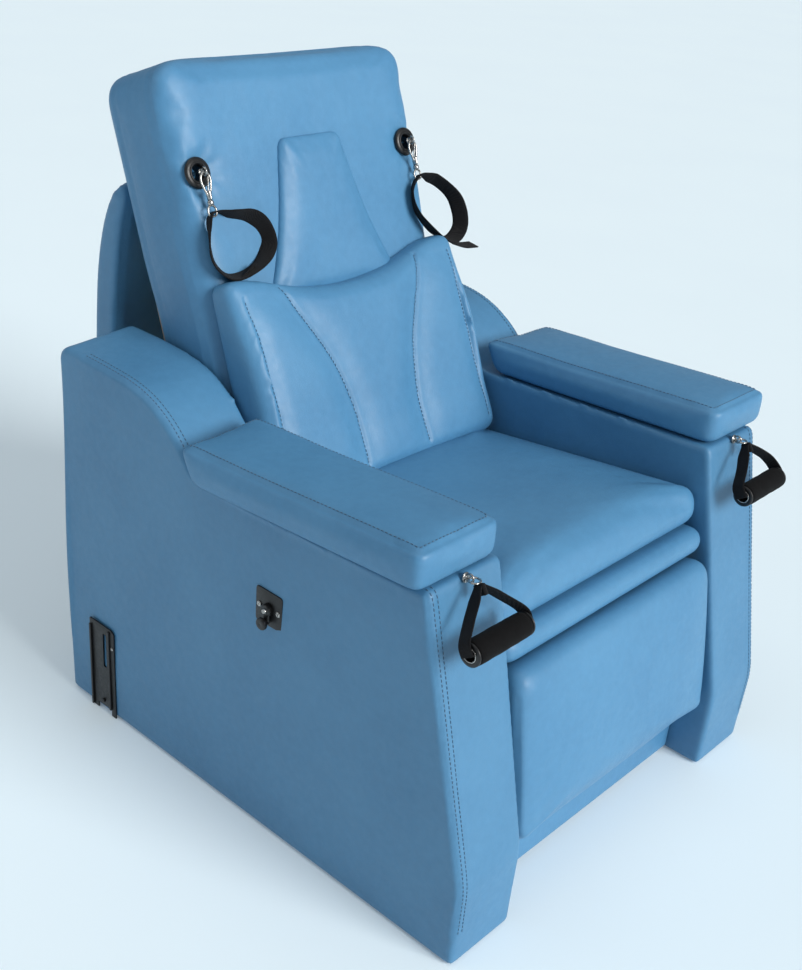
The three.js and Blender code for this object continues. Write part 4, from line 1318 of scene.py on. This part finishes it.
def add_handle(side, tag):
    joint = JOINTS[f"handle_{tag}_swing"]["pos_m"]
    swing = Matrix.Translation(joint) @ Matrix.Rotation(-HANDLE_LEAN, 4, "X")
    bow_out = 0.006 if side > 0 else 0.001
    path = [(-0.0025, -0.012), (-0.022, -0.031), (-0.044, -0.053), (-0.0625, -0.071), (-0.0645, -0.086),
            (-0.058, -0.0888), (0.0, -0.0888), (0.058, -0.0888), (0.0645, -0.086),
            (0.0625 + bow_out / 4, -0.070), (0.044 + bow_out, -0.050), (0.022 + bow_out / 2, -0.029),
            (0.0025, -0.012), (0.0, -0.0095)]
    line = closed_line([(x, STRAP_OUT, z) for x, z in path], 0.003)
    inside = step(-line[:, 2], 0.0840, 0.0875) * (1 - step(np.abs(line[:, 0]), 0.058, 0.063))
    apex = 1 - step(-line[:, 2], 0.012, 0.030)
    widths = 1 - 0.36 * inside - 0.35 * apex
    strap = sweep(f"strap_{tag}", line, band_section(0.0235, 0.0024), (0, 1, 0), closed=True, widths=widths)
    neck_line = resample(np.array([(0, STRAP_OUT, -0.0105), (0, STRAP_OUT, -0.026)]), 0.003)
    neck_section = [(u, 3.1 * v) for u, v in band_section(0.0175, 0.0024)]
    neck = sweep(f"strap_neck_{tag}", neck_line, neck_section, (0, 1, 0))
    whole = joined(f"grip_strap_{tag}", [strap, neck])
    points = coords(whole)
    below = -points[:, 2]
    fold = np.sin(points[:, 0] * 95 + side) * step(below, 0.02, 0.05) * (1 - step(below, 0.07, 0.085))
    points[:, 1] += 0.0012 * fold
    set_coords(whole, points)
    move_mesh(whole, swing)
    dress(whole, "webbing", f"handle_{tag}", replaces=[f"handle_webbing_{tag}"])
    profile = ((0.0004, 0.0045), (0.0030, 0.0045), (0.0032, 0.0056), (0.0072, 0.0060),
               (0.0076, 0.0068), (0.0076, 0.0080), (0.0004, 0.0082))
    stud = turned(f"eye_stud_{tag}", profile, Matrix(), "Y", 28)
    hole = wire_ring(f"eye_hole_{tag}", ring_line(0.0058, 30)[:, [1, 0, 2]], 0.0017, (1, 0, 0))
    whole = joined(f"handle_screw_eye_{tag}", [stud, hole])
    move_mesh(whole, Matrix.Translation(joint) @ Matrix.Rotation(-ARM_FRONT_LEAN, 4, "X"))
    dress(whole, "bright_steel", "base", replaces=[f"handle_eye_{tag}"])
    level = ring_line(0.0082, 36)[:, [0, 2, 1]] + np.array([0, -0.008, 0])
    ring = wire_ring(f"handle_loop_{tag}", to_world(Matrix.Translation(joint), level), 0.0017, (0, 0, 1))
    dress(ring, "bright_steel", f"handle_{tag}", replaces=[f"handle_ring_{tag}"])
    centre = swing @ Matrix.Translation((0, STRAP_OUT, GRIP_AXIS))
    half = GRIP_HALF
    cap = ((0.0092, half - 0.006), (0.0110, half - 0.006), (0.0112, half + 0.0008),
           (0.0168, half + 0.0008), (0.0180, half + 0.0018), (0.0176, half + 0.0036),
           (0.0150, half + 0.0046), (0.0112, half + 0.0040), (0.0094, half + 0.0022))
    mirrored = tuple((radius, -along) for radius, along in cap[::-1])
    sleeve = ((0.0092, -half), (0.0108, -half), (0.0108, half), (0.0092, half))
    pieces = [turned(f"tube_{tag}", sleeve, centre, "X", 32), turned(f"cap_a_{tag}", cap, centre, "X", 44),
              turned(f"cap_b_{tag}", mirrored, centre, "X", 44)]
    whole = joined(f"grip_core_{tag}", pieces)
    dress(whole, "black_plastic", f"handle_{tag}", replaces=[f"grip_tube_{tag}"])
    for end, label in ((-1, "left"), (1, "right")):
        trim = ring_line(0.0104, 36)[:, [1, 0, 2]] + np.array([end * (half + 0.0042), 0, 0])
        edge = wire_ring(f"grip_trim_{label}_{tag}", trim, 0.0009, (1, 0, 0), 8)
        move_mesh(edge, centre)
        dress(edge, "bright_steel", f"handle_{tag}")
    inner = [(0.0114, half), (0.0158, half), (0.0172, half - 0.0012), (0.0181, half - 0.0035),
             (0.0185, half - 0.009)]
    outer = [(0.0185 + 0.0002 * math.sin(k * 1.7), half - 0.018 - 0.0094 * k) for k in range(9)]
    profile = inner + outer + [(radius, -along) for radius, along in inner[::-1]]
    foam = turned(f"foam_sleeve_{tag}", profile, Matrix(), "X", 56)
    points = coords(foam)
    around = np.arctan2(points[:, 2], points[:, 1])
    press = np.sin(points[:, 0] * 60 + side) * np.cos(2 * around + points[:, 0] * 25)
    round_part = step(np.hypot(points[:, 1], points[:, 2]), 0.015, 0.018)
    points[:, 1:] *= (1 + 0.010 * press * round_part)[:, None]
    set_coords(foam, to_world(centre, points))
    dress(foam, "foam_rubber", f"grip_{tag}", replaces=[f"foam_grip_{tag}"])


# ------------------------------------------------------------------ fittings on the arms' outer faces
LEVER_SPOT = (-0.12, 0.429)
BRACKET_Y = 0.2975
RIB_HALF = 0.0022
AXLE_HEIGHT = 0.02347


def outer_face(side, y, z):
    place = Matrix.Translation((side * (ARM_OUTER_X + ARM_FLARE * z), y, z))
    return place @ Matrix.Rotation(side * math.atan(ARM_FLARE), 4, "Y")


def screw(name, place, side, radius=0.0046):
    """A domed head with a cross slot, standing out from a plate."""
    profile = ((0.0003, 0.0001), (radius * 0.7, 0.0001), (radius, 0.0004), (radius * 0.98, 0.0012),
               (radius * 0.7, 0.0021), (0.0003, 0.0024))
    head = turned(name, profile, Matrix(), "X", 28)
    points = coords(head)
    cross = np.minimum(np.abs(points[:, 1]), np.abs(points[:, 2])) < 0.0006
    points[:, 0] -= 0.0006 * cross * (points[:, 0] > 0.0015)
    points[:, 0] *= side
    set_coords(head, to_world(place, points))
    return head


def add_lever():
    face = outer_face(-1, *LEVER_SPOT)
    rim = round_corners([(-0.028, -0.030), (0.028, -0.030), (0.028, 0.030), (-0.028, 0.030)], [0.006] * 4)
    made = plate("lever_face_plate", rim, -0.0028, -0.0003, face)
    dress(made, "black_steel", "base", replaces=["lever_plate"])
    for y, end in ((-0.020, "front"), (0.020, "rear")):
        head = screw(f"lever_screw_head_{end}", face @ Matrix.Translation((-0.0028, y, 0)), -1)
        dress(head, "bright_steel", "base", replaces=[f"lever_screw_{end}"])
    profile = ((0.0004, -0.0145), (0.0030, -0.0145), (0.0040, -0.0135), (0.0040, -0.0003),
               (0.0004, -0.0003))
    pin = turned("lever_pin_head", profile, face, "X", 24)
    dress(pin, "bright_steel", "base", replaces=["lever_pivot_pin"])
    hub = turned("lever_hub", ((0.0043, -0.0112), (0.0088, -0.0112), (0.0100, -0.0100), (0.0100, -0.0034),
                               (0.0043, -0.0034)), face, "X", 36)
    arm_line = resample(np.array([(-0.0068, 0, -0.002), (-0.0072, 0, -0.020)]), 0.003)
    crank = sweep("lever_crank", arm_line, band_section(0.0115, 0.0056), (0, 1, 0))
    set_coords(crank, to_world(face, coords(crank)))
    knob_place = face @ Matrix.Translation((0, 0, -0.020))
    knob = turned("lever_knob", ((0.0005, -0.0200), (0.0060, -0.0205), (0.0086, -0.0200), (0.0100, -0.0185),
                                 (0.0102, -0.0150), (0.0092, -0.0135), (0.0060, -0.0125), (0.0052, -0.0100),
                                 (0.0052, -0.0050), (0.0005, -0.0050)), knob_place, "X", 36)
    whole = joined("recline_knob", [hub, crank, knob])
    soften(whole, 0.0005)
    dress(whole, "black_plastic", "lever", replaces=["recline_handle"])


def add_bracket(side, tag):
    """Plate with a slot, two upright ribs, an axle stub and a notch between two feet."""
    face = outer_face(side, BRACKET_Y, 0)
    rim = round_corners([(-0.034, 0.0006), (-0.034, 0.180), (-0.027, 0.187), (0.034, 0.187), (0.034, 0.0006),
                         (0.016, 0.0006), (0.016, 0.013), (-0.022, 0.013), (-0.022, 0.0006)],
                        [0.0005, 0.003, 0.004, 0.003, 0.0005, 0.0005, 0.001, 0.001, 0.0005], 4)
    low, high = sorted((side * 0.0003, side * 0.0030))
    body = plate(f"bracket_plate_{tag}", rim, low, high, face, 0.0005)
    slot = round_corners([(-0.012, 0.100), (-0.003, 0.100), (-0.003, 0.170), (-0.012, 0.170)],
                         [0.003] * 4, 4)
    cutter = plate(f"bracket_slot_{tag}", slot, -0.006, 0.006, face, 0.0001)
    cut_out(body, cutter)
    ribs = []
    for y, low_z, high_z in ((-0.0215, 0.014, 0.183), (0.0300, 0.002, 0.176)):
        front, rear = y - RIB_HALF, y + RIB_HALF
        edge = round_corners([(front, low_z), (rear, low_z), (rear, high_z), (front, high_z)],
                             [0.0008] * 4, 3)
        near, far = sorted((side * 0.0028, side * 0.0062))
        ribs.append(plate(f"bracket_rib_{y}_{tag}".replace("-", "m"), edge, near, far, face, 0.0004))
    profile = ((0.0004, -0.030), (0.0040, -0.030), (0.0040, 0.0048), (0.0030, 0.0056), (0.0004, 0.0056))
    axle_place = face @ Matrix.Translation((0, 0, AXLE_HEIGHT)) @ Matrix.Diagonal((side, 1, 1, 1))
    axle = turned(f"bracket_axle_{tag}", profile, axle_place, "X", 24)
    whole = joined(f"bracket_{tag}", [body, *ribs, axle])
    whole.data.set_sharp_from_angle(angle=math.radians(35))
    dress(whole, "black_steel", "base", replaces=[f"wheel_bracket_{tag}"])
    screw_place = face @ Matrix.Translation((side * 0.0030, -0.0295, 0.150))
    head = screw(f"bracket_screw_{tag}", screw_place, side, 0.0030)
    dress(head, "bright_steel", "base")


def add_wheel(side, tag):
    place = Matrix.Translation(JOINTS[f"wheel_{tag}_spin"]["pos_m"])
    place = place @ Matrix.Rotation(side * math.atan(ARM_FLARE), 4, "Y")
    tread = ((0.0043, -0.0088), (0.0105, -0.0088), (0.0115, -0.0080), (0.0150, -0.0080), (0.0160, -0.0090),
             (0.0176, -0.0088), (0.0192, -0.0075), (0.0199, -0.0050), (0.0200, 0.0), (0.0199, 0.0050),
             (0.0192, 0.0075), (0.0176, 0.0088), (0.0160, 0.0090), (0.0150, 0.0080), (0.0115, 0.0080),
             (0.0105, 0.0088), (0.0043, 0.0088))
    made = turned(f"wheel_tread_{tag}", tread, place, "X", 48)
    dress(made, "wheel_rubber", f"wheel_{tag}", replaces=[f"transport_wheel_{tag}"])


def add_fittings():
    add_lever()
    for side, tag in SIDES:
        add_grommet(side, tag)
        add_hook(side, tag)
        add_handle(side, tag)
        add_bracket(side, tag)
        add_wheel(side, tag)
    add_loop(-1, "left", LOOP_LEFT, TAIL_LEFT)
    add_loop(1, "right", LOOP_RIGHT, TAIL_RIGHT)


def carry_over():
    """CAD nodes that keep their own shape get their slot's material."""
    slots = {entry["node"]: entry["material_slot"] for entry in frame["record"]["subparts"]}
    for name, made in frame["nodes"].items():
        made.data.materials.clear()
        made.data.materials.append(MATERIALS[slots[name]])


# ------------------------------------------------------------------ build
add_camera()
add_studio()
make_materials()
add_floor()
carry_over()

add_arms()
pads = add_arm_pads()
seat, roll = add_seat()
legrest = add_legrest()
slab = add_slab()
headrest = add_headrest()
lumbar = add_lumbar()
run_simulation()
finish_arm_pads(pads)
finish_seat(seat, roll)
finish_legrest(legrest)
finish_slab(slab)
finish_headrest(headrest)
finish_lumbar(lumbar)
add_shell()
add_apron()
add_fittings()
